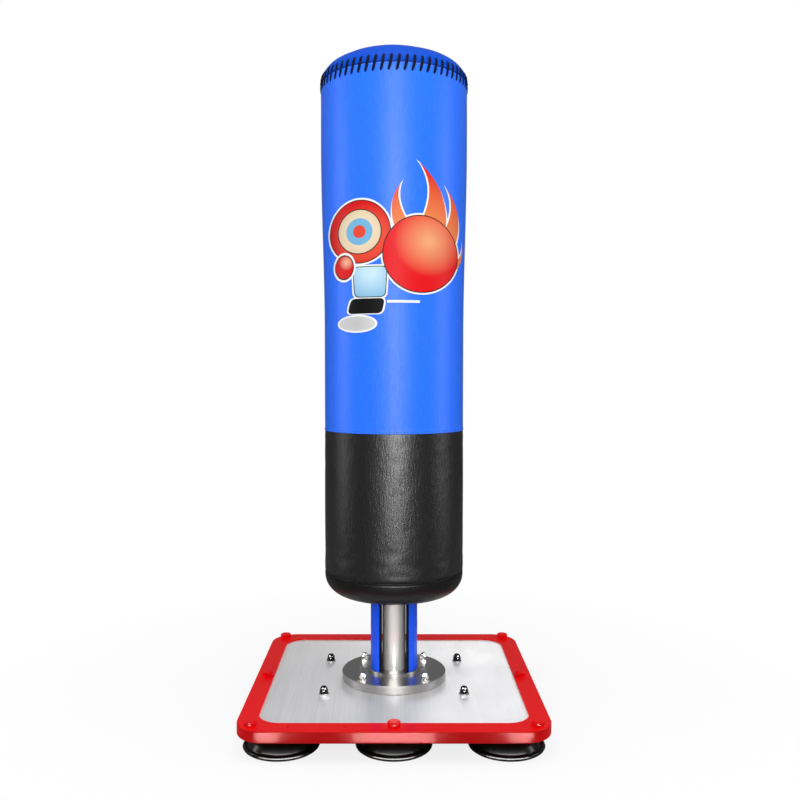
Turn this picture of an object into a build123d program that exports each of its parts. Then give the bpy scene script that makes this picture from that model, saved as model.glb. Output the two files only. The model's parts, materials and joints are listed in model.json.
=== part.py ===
from build123d import *

import os
from collections import namedtuple

# A free-standing punching bag. A padded, nearly cylindrical bag turns on a spindle. The spindle
# stands on a short coil spring on top of a chromed post, so the bag sways and comes back. The
# post is welded into a flange, which is bolted to a square base: a plywood board under a steel
# plate, with a moulded rim around both and nine suction cups underneath.
#
# Units are millimetres. The origin is on the floor under the middle of the base, +Z is up, and
# -Y is the front, where the post shows between its two pads.

# ---------------------------------------------------------------- driving dimensions
TOTAL_HEIGHT = 1400.0
BASE_SIDE = 600.0
BAG_RADIUS = 149.0
SHOULDER_RADIUS = 156.0
BAG_BOTTOM = 245.0

# base
CUP_HEIGHT = 42.5
BOARD_THICKNESS = 14.5
PLATE_THICKNESS = 2.0
RIM_CORNER = 58.0
RIM_BAND = 39.0
RIM_WEB = 10.0
RIM_LOWER_BAND = 32.0
RIM_LOWER_LIP = 4.0
RIM_UPPER_LIP = 3.5
RIM_EDGE = 3.0
BUMP_RADIUS = 12.5
BUMP_HEIGHT = 10.0
BUMP_ROUND = 3.0
INSERT_SKIN = 1.0
SHANK_END_GAP = 0.5
UPPER_OPENING_CORNER = 45.0
SIDE_BUMP_INSET = 24.0
CORNER_BUMP_INSET = 30.0
FIT = 0.1  # gap between parts that are pushed together
PLAY = 0.6  # gap around soft parts

# suction cups
CUP_PITCH = 218.0
CUP_RADIUS = 75.0
CUP_SOLE = 9.0
CUP_LIP_THICKNESS = 9.0
CUP_LIP_DRAFT = 5.0
CUP_LIP_EDGE = 1.5
CUP_CREASE = 7.0
CUP_WALL = 6.0
CUP_NECK_RADIUS = 26.0
CUP_NECK_HEIGHT = 9.0
CUP_ROOF = 21.0
CUP_BULGE = 9.0
STUD_HEAD_RADIUS = 16.0
STUD_HEAD_THICKNESS = 3.0
STUD_HEAD_LEVEL = 28.0
NUT_POCKET_DEPTH = 9.0
NUT_POCKET_RADIUS = 11.0
STUD_END_GAP = 1.5

# fasteners: shank radius, clearance hole radius, size across the flats, nut or head height
Thread = namedtuple("Thread", "radius hole across height")
M6 = Thread(3.0, 3.3, 10.0, 4.0)
M8 = Thread(4.0, 4.4, 13.0, 6.5)
M10 = Thread(5.0, 5.4, 17.0, 7.5)
THREAD_GAP = 0.05
SEAT_GAP = 0.02
WASHER_THICKNESS = 2.0
CAP_NUT_BORE = 2.5  # how far the blind bore runs on beyond the hexagon
CAP_NUT_STEP = 0.4
WASHER_SHARE = 0.62  # washer radius as a share of the nut's size across the flats
BOLT_REACH = 1.5  # how far a bolt runs on beyond its nut's hexagon
BOLT_HEAD_SCALE = 2.0  # head radius in shank radii
BOLT_HEAD_HEIGHT = 4.0
BOLT_HEAD_ROUND = 3.0
BOLT_END_CHAMFER = 0.2  # in shank radii
PLATE_BOLT_SPACING = (290.0, 206.0)

# flange and post
FLANGE_RADIUS = 112.5
FLANGE_THICKNESS = 18.0
FLANGE_EDGE = 1.5
FLANGE_PCD = 186.0
COLLAR_RADIUS = 56.0
COLLAR_HEIGHT = 6.0
COLLAR_GROOVE = 4.0
POST_RADIUS = 25.4
POST_WALL = 3.0
PAD_RADIUS = 51.0
PAD_SKIN = 2.0
PAD_SKIN_HALF_SLOT = 32.0
PAD_FOAM_HALF_SLOT = 26.5
PAD_TOP = 240.0
PAD_RING_HEIGHT = 6.0
PAD_RING_THICKNESS = 1.5

# spring coupling
POST_TOP = 266.0
SPRING_PLATE_RADIUS = 55.0
SPRING_PLATE = 10.0
SPRING_BOSS_RADIUS = 28.0
SPRING_BOSS = 14.0
SPRING_LENGTH = 110.0
SPRING_WIRE = 16.0
SPRING_MEAN_RADIUS = 40.0
SPRING_TURNS = 4.25

# spindle and core
SPINDLE_RADIUS = 24.0
SPINDLE_WALL = 4.0
SPINDLE_TOP = 900.0
PLUG_LENGTH = 30.0
RETAINING_WASHER_RADIUS = 26.0
RUNNING_GAP = 0.05
CORE_INNER = 27.0
CORE_WALL = 3.0
CORE_TOP_PLUG_RADIUS = 45.0
CORE_TOP_PLUG_HEAD = 5.0
CORE_TOP_PLUG_SHANK = 40.0
BUSH_FLANGE_RADIUS = 38.0
BUSH_FLANGE = 5.0
BUSH_LENGTH = 36.0
UPPER_BUSH_TOP_GAP = 2.0
CORE_FLANGE_RADIUS = 80.0
CORE_FLANGE = 6.0
CORE_SCREW_PCD = 130.0
CORE_SCREW_RADIUS = 2.5
CORE_SCREW_HEAD_RADIUS = 5.0
CORE_SCREW_HEAD = 3.0
CORE_SCREW_LENGTH = 18.0
CORE_SCREWS = 6
DISC_RADIUS = 142.0
DISC_THICKNESS = 15.0

# padding and covers
COVER = 1.8
CORE_FOAM_RADIUS = 95.0
TAPER_START = 850.0
SEAM_TOP = 1335.0
DOME_FULLNESS = 0.62  # 0.55 is an ellipse, more is boxier
SEAM_WAIST = 600.0
SEAM_BOTTOM = 297.0
SEAM_GAP = 2.0  # half the gap that the bottom piping fills
BOTTOM_STRAIGHT = 3.0
MOUTH_RADIUS = 94.0
MOUTH_HEM = 3.0
CAVITY_TOP_RADIUS = 82.0
PIPING_RADIUS = 1.9
LACING_REACH = 16.0
LACING_GAP = 0.2
LACING_THICKNESS = 1.2

# ---------------------------------------------------------------- levels worked out from them
board_bottom = CUP_HEIGHT
board_top = board_bottom + BOARD_THICKNESS
plate_top = board_top + PLATE_THICKNESS
plate_nut_level = plate_top + WASHER_THICKNESS
rim_bottom = board_bottom - RIM_LOWER_LIP
rim_top = plate_top + RIM_UPPER_LIP
board_side = BASE_SIDE - 2 * RIM_WEB - 2 * FIT
board_corner = RIM_CORNER - RIM_WEB
stud_head_top = STUD_HEAD_LEVEL + STUD_HEAD_THICKNESS
flange_top = plate_top + FLANGE_THICKNESS
flange_nut_level = flange_top + WASHER_THICKNESS
collar_top = flange_top + COLLAR_HEIGHT
pad_bottom = collar_top - COLLAR_GROOVE
spring_bottom = POST_TOP + SPRING_PLATE
spring_top = spring_bottom + SPRING_LENGTH
spindle_bottom = spring_top + SPRING_PLATE
core_bottom = spindle_bottom + RUNNING_GAP + BUSH_FLANGE
core_flange_top = core_bottom + CORE_FLANGE
foam_bottom = core_flange_top + DISC_THICKNESS
top_disc_top = SEAM_TOP - CORE_TOP_PLUG_HEAD
foam_top = top_disc_top - DISC_THICKNESS
core_outer = CORE_INNER + CORE_WALL
dome_height = TOTAL_HEIGHT - SEAM_TOP
bottom_middle = MOUTH_RADIUS + MOUTH_HEM
bottom_shoulder = SEAM_BOTTOM - SEAM_GAP - BOTTOM_STRAIGHT

# ---------------------------------------------------------------- patterns of places
CUP_PLACES = GridLocations(CUP_PITCH, CUP_PITCH, 3, 3)
PLATE_BOLT_PLACES = GridLocations(*PLATE_BOLT_SPACING, 2, 2)
FLANGE_BOLT_PLACES = PolarLocations(FLANGE_PCD / 2, 4, start_angle=45)
CORE_SCREW_PLACES = PolarLocations(CORE_SCREW_PCD / 2, CORE_SCREWS)
side_bump = BASE_SIDE / 2 - SIDE_BUMP_INSET
corner_bump = BASE_SIDE / 2 - CORNER_BUMP_INSET
RIM_BOLT_PLACES = Locations(
    *GridLocations(2 * corner_bump, 2 * corner_bump, 2, 2),
    *PolarLocations(side_bump, 4),
)


def bag_radius(level):
    """The bag's outer radius at a level: straight at first, then wider towards the shoulder."""
    share = max(0.0, level - TAPER_START) / (SEAM_TOP - TAPER_START)
    return BAG_RADIUS + share * (SHOULDER_RADIUS - BAG_RADIUS)


def rod(radius, low, high):
    """A plain round bar between two levels."""
    with BuildPart(Plane.XY.offset(low)) as bar:
        Cylinder(radius, high - low, align=(Align.CENTER, Align.CENTER, Align.MIN))
    return bar.part


def tube(outer, inner, low, high):
    """A plain round tube between two levels."""
    with BuildPart() as ring:
        with BuildSketch(Plane.XY.offset(low)):
            Circle(outer)
            Circle(inner, mode=Mode.SUBTRACT)
        extrude(amount=high - low)
    return ring.part


def hexagon(across, low, high):
    """A hexagonal bar between two levels."""
    with BuildPart() as bar:
        with BuildSketch(Plane.XY.offset(low)):
            RegularPolygon(across / 2, 6, major_radius=False)
        extrude(amount=high - low)
    return bar.part


def turned(points):
    """A solid turned about Z from a closed outline of (radius, level) points."""
    with BuildPart() as solid:
        with BuildSketch(Plane.XZ):
            with BuildLine():
                Polyline(*points, close=True)
            make_face()
        revolve(axis=Axis.Z)
    return solid.part


def carriage_bolt(size, low, high):
    """A bolt from below: a domed head hanging under `low` and a shank that ends at `high`."""
    with BuildPart() as bolt:
        add(rod(size.radius, low, high))
        chamfer(bolt.edges().group_by(Axis.Z)[-1], size.radius * BOLT_END_CHAMFER)
        add(rod(size.radius * BOLT_HEAD_SCALE, low - BOLT_HEAD_HEIGHT, low))
        fillet(bolt.edges().group_by(Axis.Z)[0], BOLT_HEAD_ROUND)
    return bolt.part


def nut(size, low):
    """A plain hexagon nut standing on the level `low`."""
    with BuildPart() as plain_nut:
        add(hexagon(size.across, low, low + size.height))
        add(rod(size.radius + THREAD_GAP, low, low + size.height), mode=Mode.SUBTRACT)
    return plain_nut.part


def cap_nut(size, low):
    """A domed nut standing on the level `low`, with a blind bore."""
    dome_radius = size.across / 2 - CAP_NUT_STEP
    shoulder = low + size.height
    with BuildPart() as domed_nut:
        add(hexagon(size.across, low, shoulder))
        with BuildSketch(Plane.XZ):
            with BuildLine():
                Polyline((0, shoulder + dome_radius), (0, shoulder), (dome_radius, shoulder))
                CenterArc((0, shoulder), dome_radius, 0, 90)
            make_face()
        revolve(axis=Axis.Z)
        add(rod(size.radius + THREAD_GAP, low, shoulder + CAP_NUT_BORE), mode=Mode.SUBTRACT)
    return domed_nut.part


def bag_wall(outer_inset, inner_inset, levels):
    """A wall that follows the bag's outside between two insets from it, level by level."""
    outer = [(bag_radius(level) - outer_inset, level) for level in levels]
    inner = [(bag_radius(level) - inner_inset, level) for level in reversed(levels)]
    return turned(outer + inner)


def dome_curve(inset):
    """The dome's section line, from its edge to the top, moved inwards by `inset`."""
    reach = SHOULDER_RADIUS - inset
    rise = dome_height - inset
    Bezier(
        (reach, SEAM_TOP),
        (reach, SEAM_TOP + DOME_FULLNESS * rise),
        (DOME_FULLNESS * reach, SEAM_TOP + rise),
        (0, SEAM_TOP + rise),
    )


def bottom_arc(inset, start=0, size=-90):
    """The section line of the bag's rounded bottom, moved inwards by `inset`."""
    EllipticalCenterArc(
        (bottom_middle, bottom_shoulder),
        BAG_RADIUS - bottom_middle - inset,
        bottom_shoulder - BAG_BOTTOM - inset,
        start,
        arc_size=size,
    )


# ---------------------------------------------------------------- suction cups
cup_shoulder = CUP_HEIGHT - CUP_NECK_HEIGHT
cup_crease = (CUP_RADIUS - CUP_CREASE, CUP_LIP_THICKNESS - CUP_LIP_EDGE)
sole_outer = CUP_RADIUS - CUP_LIP_DRAFT
sole_inner = sole_outer - CUP_SOLE
with BuildPart() as one_cup:
    with BuildSketch(Plane.XZ):
        with BuildLine():
            Polyline((0, CUP_ROOF), (0, CUP_HEIGHT), (CUP_NECK_RADIUS, CUP_HEIGHT))
            Line((CUP_NECK_RADIUS, CUP_HEIGHT), (CUP_NECK_RADIUS, cup_shoulder))
            SagittaArc((CUP_NECK_RADIUS, cup_shoulder), cup_crease, CUP_BULGE)
            Polyline(
                cup_crease,
                (CUP_RADIUS - 2 * CUP_LIP_EDGE, CUP_LIP_THICKNESS),
                (CUP_RADIUS - CUP_LIP_EDGE, CUP_LIP_THICKNESS),
                (CUP_RADIUS, CUP_LIP_THICKNESS - CUP_LIP_EDGE),
                (sole_outer, 0),
                (sole_inner, 0),
            )
            SagittaArc((sole_inner, 0), (CUP_NECK_RADIUS - CUP_WALL, CUP_ROOF), -CUP_BULGE)
            Line((CUP_NECK_RADIUS - CUP_WALL, CUP_ROOF), (0, CUP_ROOF))
        make_face()
    revolve(axis=Axis.Z)
    add(
        rod(STUD_HEAD_RADIUS + FIT, STUD_HEAD_LEVEL - FIT, stud_head_top + FIT),
        mode=Mode.SUBTRACT,
    )
    add(rod(M8.radius + FIT, stud_head_top, CUP_HEIGHT), mode=Mode.SUBTRACT)

with BuildPart() as suction_cups:
    with CUP_PLACES:
        add(one_cup.part)

with BuildPart() as cup_studs:
    with CUP_PLACES:
        add(rod(STUD_HEAD_RADIUS, STUD_HEAD_LEVEL, stud_head_top))
        add(rod(M8.radius, stud_head_top, board_top - STUD_END_GAP))

with BuildPart() as cup_nuts:
    with CUP_PLACES:
        add(nut(M8, board_top - NUT_POCKET_DEPTH))

# ---------------------------------------------------------------- base board, plate and rim
with BuildPart() as base_board:
    with BuildSketch(Plane.XY.offset(board_bottom)):
        RectangleRounded(board_side, board_side, board_corner)
        with RIM_BOLT_PLACES:
            Circle(M6.hole, mode=Mode.SUBTRACT)
        with CUP_PLACES:
            Circle(M8.hole, mode=Mode.SUBTRACT)
        with PLATE_BOLT_PLACES:
            Circle(M10.hole, mode=Mode.SUBTRACT)
        with FLANGE_BOLT_PLACES:
            Circle(M8.hole, mode=Mode.SUBTRACT)
    extrude(amount=BOARD_THICKNESS)
    with BuildSketch(Plane.XY.offset(board_top)):
        with CUP_PLACES:
            Circle(NUT_POCKET_RADIUS)
    extrude(amount=-NUT_POCKET_DEPTH, mode=Mode.SUBTRACT)

with BuildPart() as top_plate:
    with BuildSketch(Plane.XY.offset(board_top)):
        RectangleRounded(board_side, board_side, board_corner)
        with RIM_BOLT_PLACES:
            Circle(M6.hole, mode=Mode.SUBTRACT)
        with PLATE_BOLT_PLACES:
            Circle(M10.hole, mode=Mode.SUBTRACT)
        with FLANGE_BOLT_PLACES:
            Circle(M8.hole, mode=Mode.SUBTRACT)
    extrude(amount=PLATE_THICKNESS)

insert_level = rim_top + INSERT_SKIN
insert_top = insert_level + M6.height
channel_side = board_side + 2 * FIT
upper_opening = BASE_SIDE - 2 * RIM_BAND
lower_opening = BASE_SIDE - 2 * RIM_LOWER_BAND
with BuildPart() as rim_guard:
    with BuildSketch(Plane.XY.offset(rim_bottom)):
        RectangleRounded(BASE_SIDE, BASE_SIDE, RIM_CORNER)
    extrude(amount=rim_top - rim_bottom)
    fillet(rim_guard.faces().filter_by(Axis.Z).edges(), RIM_EDGE)
    with BuildSketch(Plane.XY.offset(board_bottom)):
        RectangleRounded(channel_side, channel_side, board_corner + FIT)
    extrude(amount=plate_top - board_bottom, mode=Mode.SUBTRACT)
    with BuildSketch(Plane.XY.offset(plate_top)):
        RectangleRounded(upper_opening, upper_opening, UPPER_OPENING_CORNER)
    extrude(amount=RIM_UPPER_LIP, mode=Mode.SUBTRACT)
    with BuildSketch(Plane.XY.offset(rim_bottom)):
        RectangleRounded(lower_opening, lower_opening, UPPER_OPENING_CORNER)
    extrude(amount=RIM_LOWER_LIP, mode=Mode.SUBTRACT)
    with BuildSketch(Plane.XY.offset(rim_top)):
        with RIM_BOLT_PLACES:
            Circle(BUMP_RADIUS)
    extrude(amount=BUMP_HEIGHT)
    fillet(rim_guard.edges().group_by(Axis.Z)[-1], BUMP_ROUND)
    with BuildSketch(Plane.XY.offset(rim_bottom)):
        with RIM_BOLT_PLACES:
            Circle(M6.hole)
    extrude(amount=insert_top + SHANK_END_GAP - rim_bottom, mode=Mode.SUBTRACT)
    with BuildSketch(Plane.XY.offset(insert_level)):
        with RIM_BOLT_PLACES:
            RegularPolygon(M6.across / 2 + FIT, 6, major_radius=False)
    extrude(amount=M6.height + FIT, mode=Mode.SUBTRACT)

with BuildPart() as rim_inserts:
    with RIM_BOLT_PLACES:
        add(nut(M6, insert_level))

with BuildPart() as rim_bolts:
    with RIM_BOLT_PLACES:
        add(carriage_bolt(M6, rim_bottom, insert_top))

# ---------------------------------------------------------------- plate bolts
with BuildPart() as plate_bolts:
    with PLATE_BOLT_PLACES:
        add(carriage_bolt(M10, board_bottom, plate_nut_level + M10.height + BOLT_REACH))

with BuildPart() as plate_washers:
    with PLATE_BOLT_PLACES:
        add(tube(M10.across * WASHER_SHARE, M10.hole, plate_top, plate_nut_level))

with BuildPart() as plate_cap_nuts:
    with PLATE_BOLT_PLACES:
        add(cap_nut(M10, plate_nut_level))

# ---------------------------------------------------------------- flange and post
with BuildPart() as flange:
    add(rod(FLANGE_RADIUS, plate_top, flange_top))
    chamfer(flange.edges(), FLANGE_EDGE)
    add(rod(COLLAR_RADIUS, flange_top, collar_top))
    fillet(flange.edges().group_by(Axis.Z)[-1], FLANGE_EDGE)
    add(rod(PAD_RADIUS + FIT, pad_bottom, collar_top), mode=Mode.SUBTRACT)
    add(rod(POST_RADIUS + FIT, plate_top, collar_top), mode=Mode.SUBTRACT)
    with BuildSketch(Plane.XY.offset(plate_top)):
        with FLANGE_BOLT_PLACES:
            Circle(M8.hole)
    extrude(amount=FLANGE_THICKNESS, mode=Mode.SUBTRACT)

with BuildPart() as flange_bolts:
    with FLANGE_BOLT_PLACES:
        add(carriage_bolt(M8, board_bottom, flange_nut_level + M8.height + BOLT_REACH))

with BuildPart() as flange_washers:
    with FLANGE_BOLT_PLACES:
        add(tube(M8.across * WASHER_SHARE, M8.hole, flange_top, flange_nut_level))

with BuildPart() as flange_cap_nuts:
    with FLANGE_BOLT_PLACES:
        add(cap_nut(M8, flange_nut_level))

with BuildPart() as post_tube:
    add(tube(POST_RADIUS, POST_RADIUS - POST_WALL, plate_top, POST_TOP))


def post_pad(outer, inner, half_slot, side):
    """One side of the padding round the post: side is -1 for the left, +1 for the right."""
    width = outer - half_slot
    with BuildPart() as pad:
        with BuildSketch(Plane.XY.offset(pad_bottom)):
            Circle(outer)
            Circle(inner, mode=Mode.SUBTRACT)
            with Locations((side * (half_slot + width / 2), 0)):
                Rectangle(width, 2 * outer, mode=Mode.INTERSECT)
        extrude(amount=PAD_TOP - pad_bottom)
    return pad.part


foam_outer = PAD_RADIUS - PAD_SKIN - FIT
foam_inner = POST_RADIUS + PLAY
with BuildPart() as pad_cover_left:
    add(post_pad(PAD_RADIUS, PAD_RADIUS - PAD_SKIN, PAD_SKIN_HALF_SLOT, -1))

with BuildPart() as pad_cover_right:
    add(post_pad(PAD_RADIUS, PAD_RADIUS - PAD_SKIN, PAD_SKIN_HALF_SLOT, 1))

with BuildPart() as pad_foam_left:
    add(post_pad(foam_outer, foam_inner, PAD_FOAM_HALF_SLOT, -1))

with BuildPart() as pad_foam_right:
    add(post_pad(foam_outer, foam_inner, PAD_FOAM_HALF_SLOT, 1))

with BuildPart() as pad_ring:
    ring_inner = PAD_RADIUS + FIT
    add(tube(ring_inner + PAD_RING_THICKNESS, ring_inner, PAD_TOP - PAD_RING_HEIGHT, PAD_TOP))

# ---------------------------------------------------------------- spring coupling
with BuildPart() as lower_spring_plate:
    add(rod(SPRING_PLATE_RADIUS, POST_TOP, spring_bottom))
    add(rod(SPRING_BOSS_RADIUS, spring_bottom, spring_bottom + SPRING_BOSS))
    chamfer(lower_spring_plate.edges().group_by(Axis.Z)[-1], FLANGE_EDGE)

wire_radius = SPRING_WIRE / 2
coil_height = SPRING_LENGTH - SPRING_WIRE
with BuildPart() as main_spring:
    with BuildLine() as coil:
        Helix(
            coil_height / SPRING_TURNS,
            coil_height,
            SPRING_MEAN_RADIUS,
            center=(0, 0, spring_bottom + wire_radius),
        )
    with BuildSketch(Plane(origin=coil.line @ 0, z_dir=coil.line % 0)):
        Circle(wire_radius)
    sweep(is_frenet=True)

with BuildPart() as upper_spring_plate:
    add(rod(SPRING_PLATE_RADIUS, spring_top, spindle_bottom))
    add(rod(SPRING_BOSS_RADIUS, spring_top - SPRING_BOSS, spring_top))
    chamfer(upper_spring_plate.edges().group_by(Axis.Z)[0], FLANGE_EDGE)

# ---------------------------------------------------------------- spindle
spindle_inner = SPINDLE_RADIUS - SPINDLE_WALL
retainer_top = SPINDLE_TOP + WASHER_THICKNESS
with BuildPart() as spindle_tube:
    add(tube(SPINDLE_RADIUS, spindle_inner, spindle_bottom, SPINDLE_TOP))

with BuildPart() as spindle_plug:
    add(tube(spindle_inner - SEAT_GAP, M10.radius + THREAD_GAP, SPINDLE_TOP - PLUG_LENGTH, SPINDLE_TOP))

with BuildPart() as retaining_washer:
    add(tube(RETAINING_WASHER_RADIUS, M10.hole, SPINDLE_TOP, retainer_top))

with BuildPart() as retaining_bolt:
    add(rod(M10.radius, SPINDLE_TOP - PLUG_LENGTH, retainer_top))
    add(hexagon(M10.across, retainer_top, retainer_top + M10.height))

# ---------------------------------------------------------------- core of the bag
bush_outer = CORE_INNER - SEAT_GAP
bush_inner = SPINDLE_RADIUS + RUNNING_GAP
upper_bush_top = SPINDLE_TOP - UPPER_BUSH_TOP_GAP
with BuildPart() as lower_bush:
    add(tube(BUSH_FLANGE_RADIUS, bush_inner, core_bottom - BUSH_FLANGE, core_bottom))
    add(tube(bush_outer, bush_inner, core_bottom, core_bottom + BUSH_LENGTH))

with BuildPart() as upper_bush:
    add(tube(bush_outer, bush_inner, upper_bush_top - BUSH_LENGTH, upper_bush_top))

with BuildPart() as core_tube:
    add(tube(core_outer, CORE_INNER, core_bottom, top_disc_top))
    add(tube(CORE_FLANGE_RADIUS, core_outer, core_bottom, core_flange_top))
    with BuildSketch(Plane.XY.offset(core_bottom)):
        with CORE_SCREW_PLACES:
            Circle(CORE_SCREW_RADIUS + FIT)
    extrude(amount=CORE_FLANGE, mode=Mode.SUBTRACT)

screw_top = core_bottom + CORE_SCREW_LENGTH
with BuildPart() as core_screws:
    with CORE_SCREW_PLACES:
        add(rod(CORE_SCREW_HEAD_RADIUS, core_bottom - CORE_SCREW_HEAD, core_bottom))
        add(rod(CORE_SCREW_RADIUS, core_bottom, screw_top))

with BuildPart() as bottom_disc:
    add(tube(DISC_RADIUS, core_outer + FIT, core_flange_top, foam_bottom))
    with BuildSketch(Plane.XY.offset(core_flange_top)):
        with CORE_SCREW_PLACES:
            Circle(CORE_SCREW_RADIUS + THREAD_GAP)
    extrude(amount=screw_top - core_flange_top, mode=Mode.SUBTRACT)

with BuildPart() as top_disc:
    add(tube(DISC_RADIUS, core_outer + FIT, foam_top, top_disc_top))

with BuildPart() as core_plug:
    add(rod(CORE_TOP_PLUG_RADIUS, top_disc_top, top_disc_top + CORE_TOP_PLUG_HEAD))
    add(rod(CORE_INNER - FIT, top_disc_top - CORE_TOP_PLUG_SHANK, top_disc_top))

# ---------------------------------------------------------------- padding of the bag
foam_low = foam_bottom + PLAY
foam_high = foam_top - PLAY
pad_inset = COVER + PLAY
with BuildPart() as core_foam:
    add(tube(CORE_FOAM_RADIUS, core_outer + PLAY, foam_low, foam_high))

jacket_inner = CORE_FOAM_RADIUS + PLAY
with BuildPart() as foam_jacket:
    add(
        turned(
            [
                (jacket_inner, foam_low),
                (bag_radius(foam_low) - pad_inset, foam_low),
                (bag_radius(TAPER_START) - pad_inset, TAPER_START),
                (bag_radius(foam_high) - pad_inset, foam_high),
                (jacket_inner, foam_high),
            ]
        )
    )

skirt_top = core_flange_top - PLAY
with BuildPart() as skirt_foam:
    with BuildSketch(Plane.XZ):
        with BuildLine():
            bottom_arc(pad_inset)
            Polyline(
                (bottom_middle, BAG_BOTTOM + pad_inset),
                (MOUTH_RADIUS + pad_inset, BAG_BOTTOM + pad_inset),
                (CAVITY_TOP_RADIUS + pad_inset, skirt_top),
                (BAG_RADIUS - pad_inset, skirt_top),
                (BAG_RADIUS - pad_inset, bottom_shoulder),
            )
        make_face()
    revolve(axis=Axis.Z)

pocket_radius = CORE_TOP_PLUG_RADIUS + PLAY
with BuildPart() as top_foam:
    with BuildSketch(Plane.XZ):
        with BuildLine():
            dome_curve(pad_inset)
            Polyline(
                (0, TOTAL_HEIGHT - pad_inset),
                (0, SEAM_TOP + PLAY),
                (pocket_radius, SEAM_TOP + PLAY),
                (pocket_radius, top_disc_top + PLAY),
                (SHOULDER_RADIUS - pad_inset, top_disc_top + PLAY),
                (SHOULDER_RADIUS - pad_inset, SEAM_TOP),
            )
        make_face()
    revolve(axis=Axis.Z)

# ---------------------------------------------------------------- covers of the bag
with BuildPart() as cover_upper:
    add(bag_wall(0, COVER, [SEAM_WAIST, TAPER_START, SEAM_TOP]))

with BuildPart() as cover_lower:
    add(bag_wall(0, COVER, [SEAM_BOTTOM + SEAM_GAP, SEAM_WAIST]))

with BuildPart() as top_cap:
    with BuildSketch(Plane.XZ):
        with BuildLine():
            dome_curve(0)
            Line((0, TOTAL_HEIGHT), (0, TOTAL_HEIGHT - COVER))
            dome_curve(COVER)
            Line((SHOULDER_RADIUS - COVER, SEAM_TOP), (SHOULDER_RADIUS, SEAM_TOP))
        make_face()
    revolve(axis=Axis.Z)

with BuildPart() as bottom_cap:
    with BuildSketch(Plane.XZ):
        with BuildLine():
            bottom_arc(0)
            Polyline(
                (bottom_middle, BAG_BOTTOM),
                (MOUTH_RADIUS, BAG_BOTTOM),
                (MOUTH_RADIUS, BAG_BOTTOM + COVER),
                (bottom_middle, BAG_BOTTOM + COVER),
            )
            bottom_arc(COVER, -90, 90)
            Polyline(
                (BAG_RADIUS - COVER, bottom_shoulder),
                (BAG_RADIUS - COVER, SEAM_BOTTOM - SEAM_GAP),
                (BAG_RADIUS, SEAM_BOTTOM - SEAM_GAP),
                (BAG_RADIUS, bottom_shoulder),
            )
        make_face()
    revolve(axis=Axis.Z)

liner_bottom = BAG_BOTTOM + COVER + FIT
with BuildPart() as well_liner:
    add(
        turned(
            [
                (MOUTH_RADIUS, liner_bottom),
                (MOUTH_RADIUS + COVER, liner_bottom),
                (CAVITY_TOP_RADIUS + COVER, skirt_top),
                (CAVITY_TOP_RADIUS, skirt_top),
            ]
        )
    )

with BuildPart(Plane.XY.offset(SEAM_BOTTOM)) as bottom_piping:
    Torus(BAG_RADIUS, PIPING_RADIUS)

lacing_inner = SHOULDER_RADIUS + LACING_GAP
with BuildPart() as top_lacing:
    add(
        tube(
            lacing_inner + LACING_THICKNESS,
            lacing_inner,
            SEAM_TOP - LACING_REACH,
            SEAM_TOP + LACING_REACH,
        )
    )

# ---------------------------------------------------------------- names and files
PIECES = {
    "suction_cups": suction_cups,
    "cup_studs": cup_studs,
    "cup_nuts": cup_nuts,
    "base_board": base_board,
    "top_plate": top_plate,
    "rim_guard": rim_guard,
    "rim_inserts": rim_inserts,
    "rim_bolts": rim_bolts,
    "plate_bolts": plate_bolts,
    "plate_washers": plate_washers,
    "plate_cap_nuts": plate_cap_nuts,
    "flange": flange,
    "flange_bolts": flange_bolts,
    "flange_washers": flange_washers,
    "flange_cap_nuts": flange_cap_nuts,
    "post_tube": post_tube,
    "pad_cover_left": pad_cover_left,
    "pad_cover_right": pad_cover_right,
    "pad_foam_left": pad_foam_left,
    "pad_foam_right": pad_foam_right,
    "pad_ring": pad_ring,
    "lower_spring_plate": lower_spring_plate,
    "main_spring": main_spring,
    "upper_spring_plate": upper_spring_plate,
    "spindle_tube": spindle_tube,
    "spindle_plug": spindle_plug,
    "retaining_washer": retaining_washer,
    "retaining_bolt": retaining_bolt,
    "lower_bush": lower_bush,
    "upper_bush": upper_bush,
    "core_tube": core_tube,
    "core_screws": core_screws,
    "bottom_disc": bottom_disc,
    "top_disc": top_disc,
    "core_plug": core_plug,
    "core_foam": core_foam,
    "foam_jacket": foam_jacket,
    "skirt_foam": skirt_foam,
    "top_foam": top_foam,
    "cover_upper": cover_upper,
    "cover_lower": cover_lower,
    "top_cap": top_cap,
    "bottom_cap": bottom_cap,
    "well_liner": well_liner,
    "bottom_piping": bottom_piping,
    "top_lacing": top_lacing,
}

os.makedirs("parts", exist_ok=True)
for label, piece in PIECES.items():
    piece.part.label = label
    export_step(piece.part, f"parts/{label}.step")
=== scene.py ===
import json
import math

import bmesh
import bpy
import numpy as np
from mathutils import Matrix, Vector, noise
from mathutils.bvhtree import BVHTree


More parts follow.
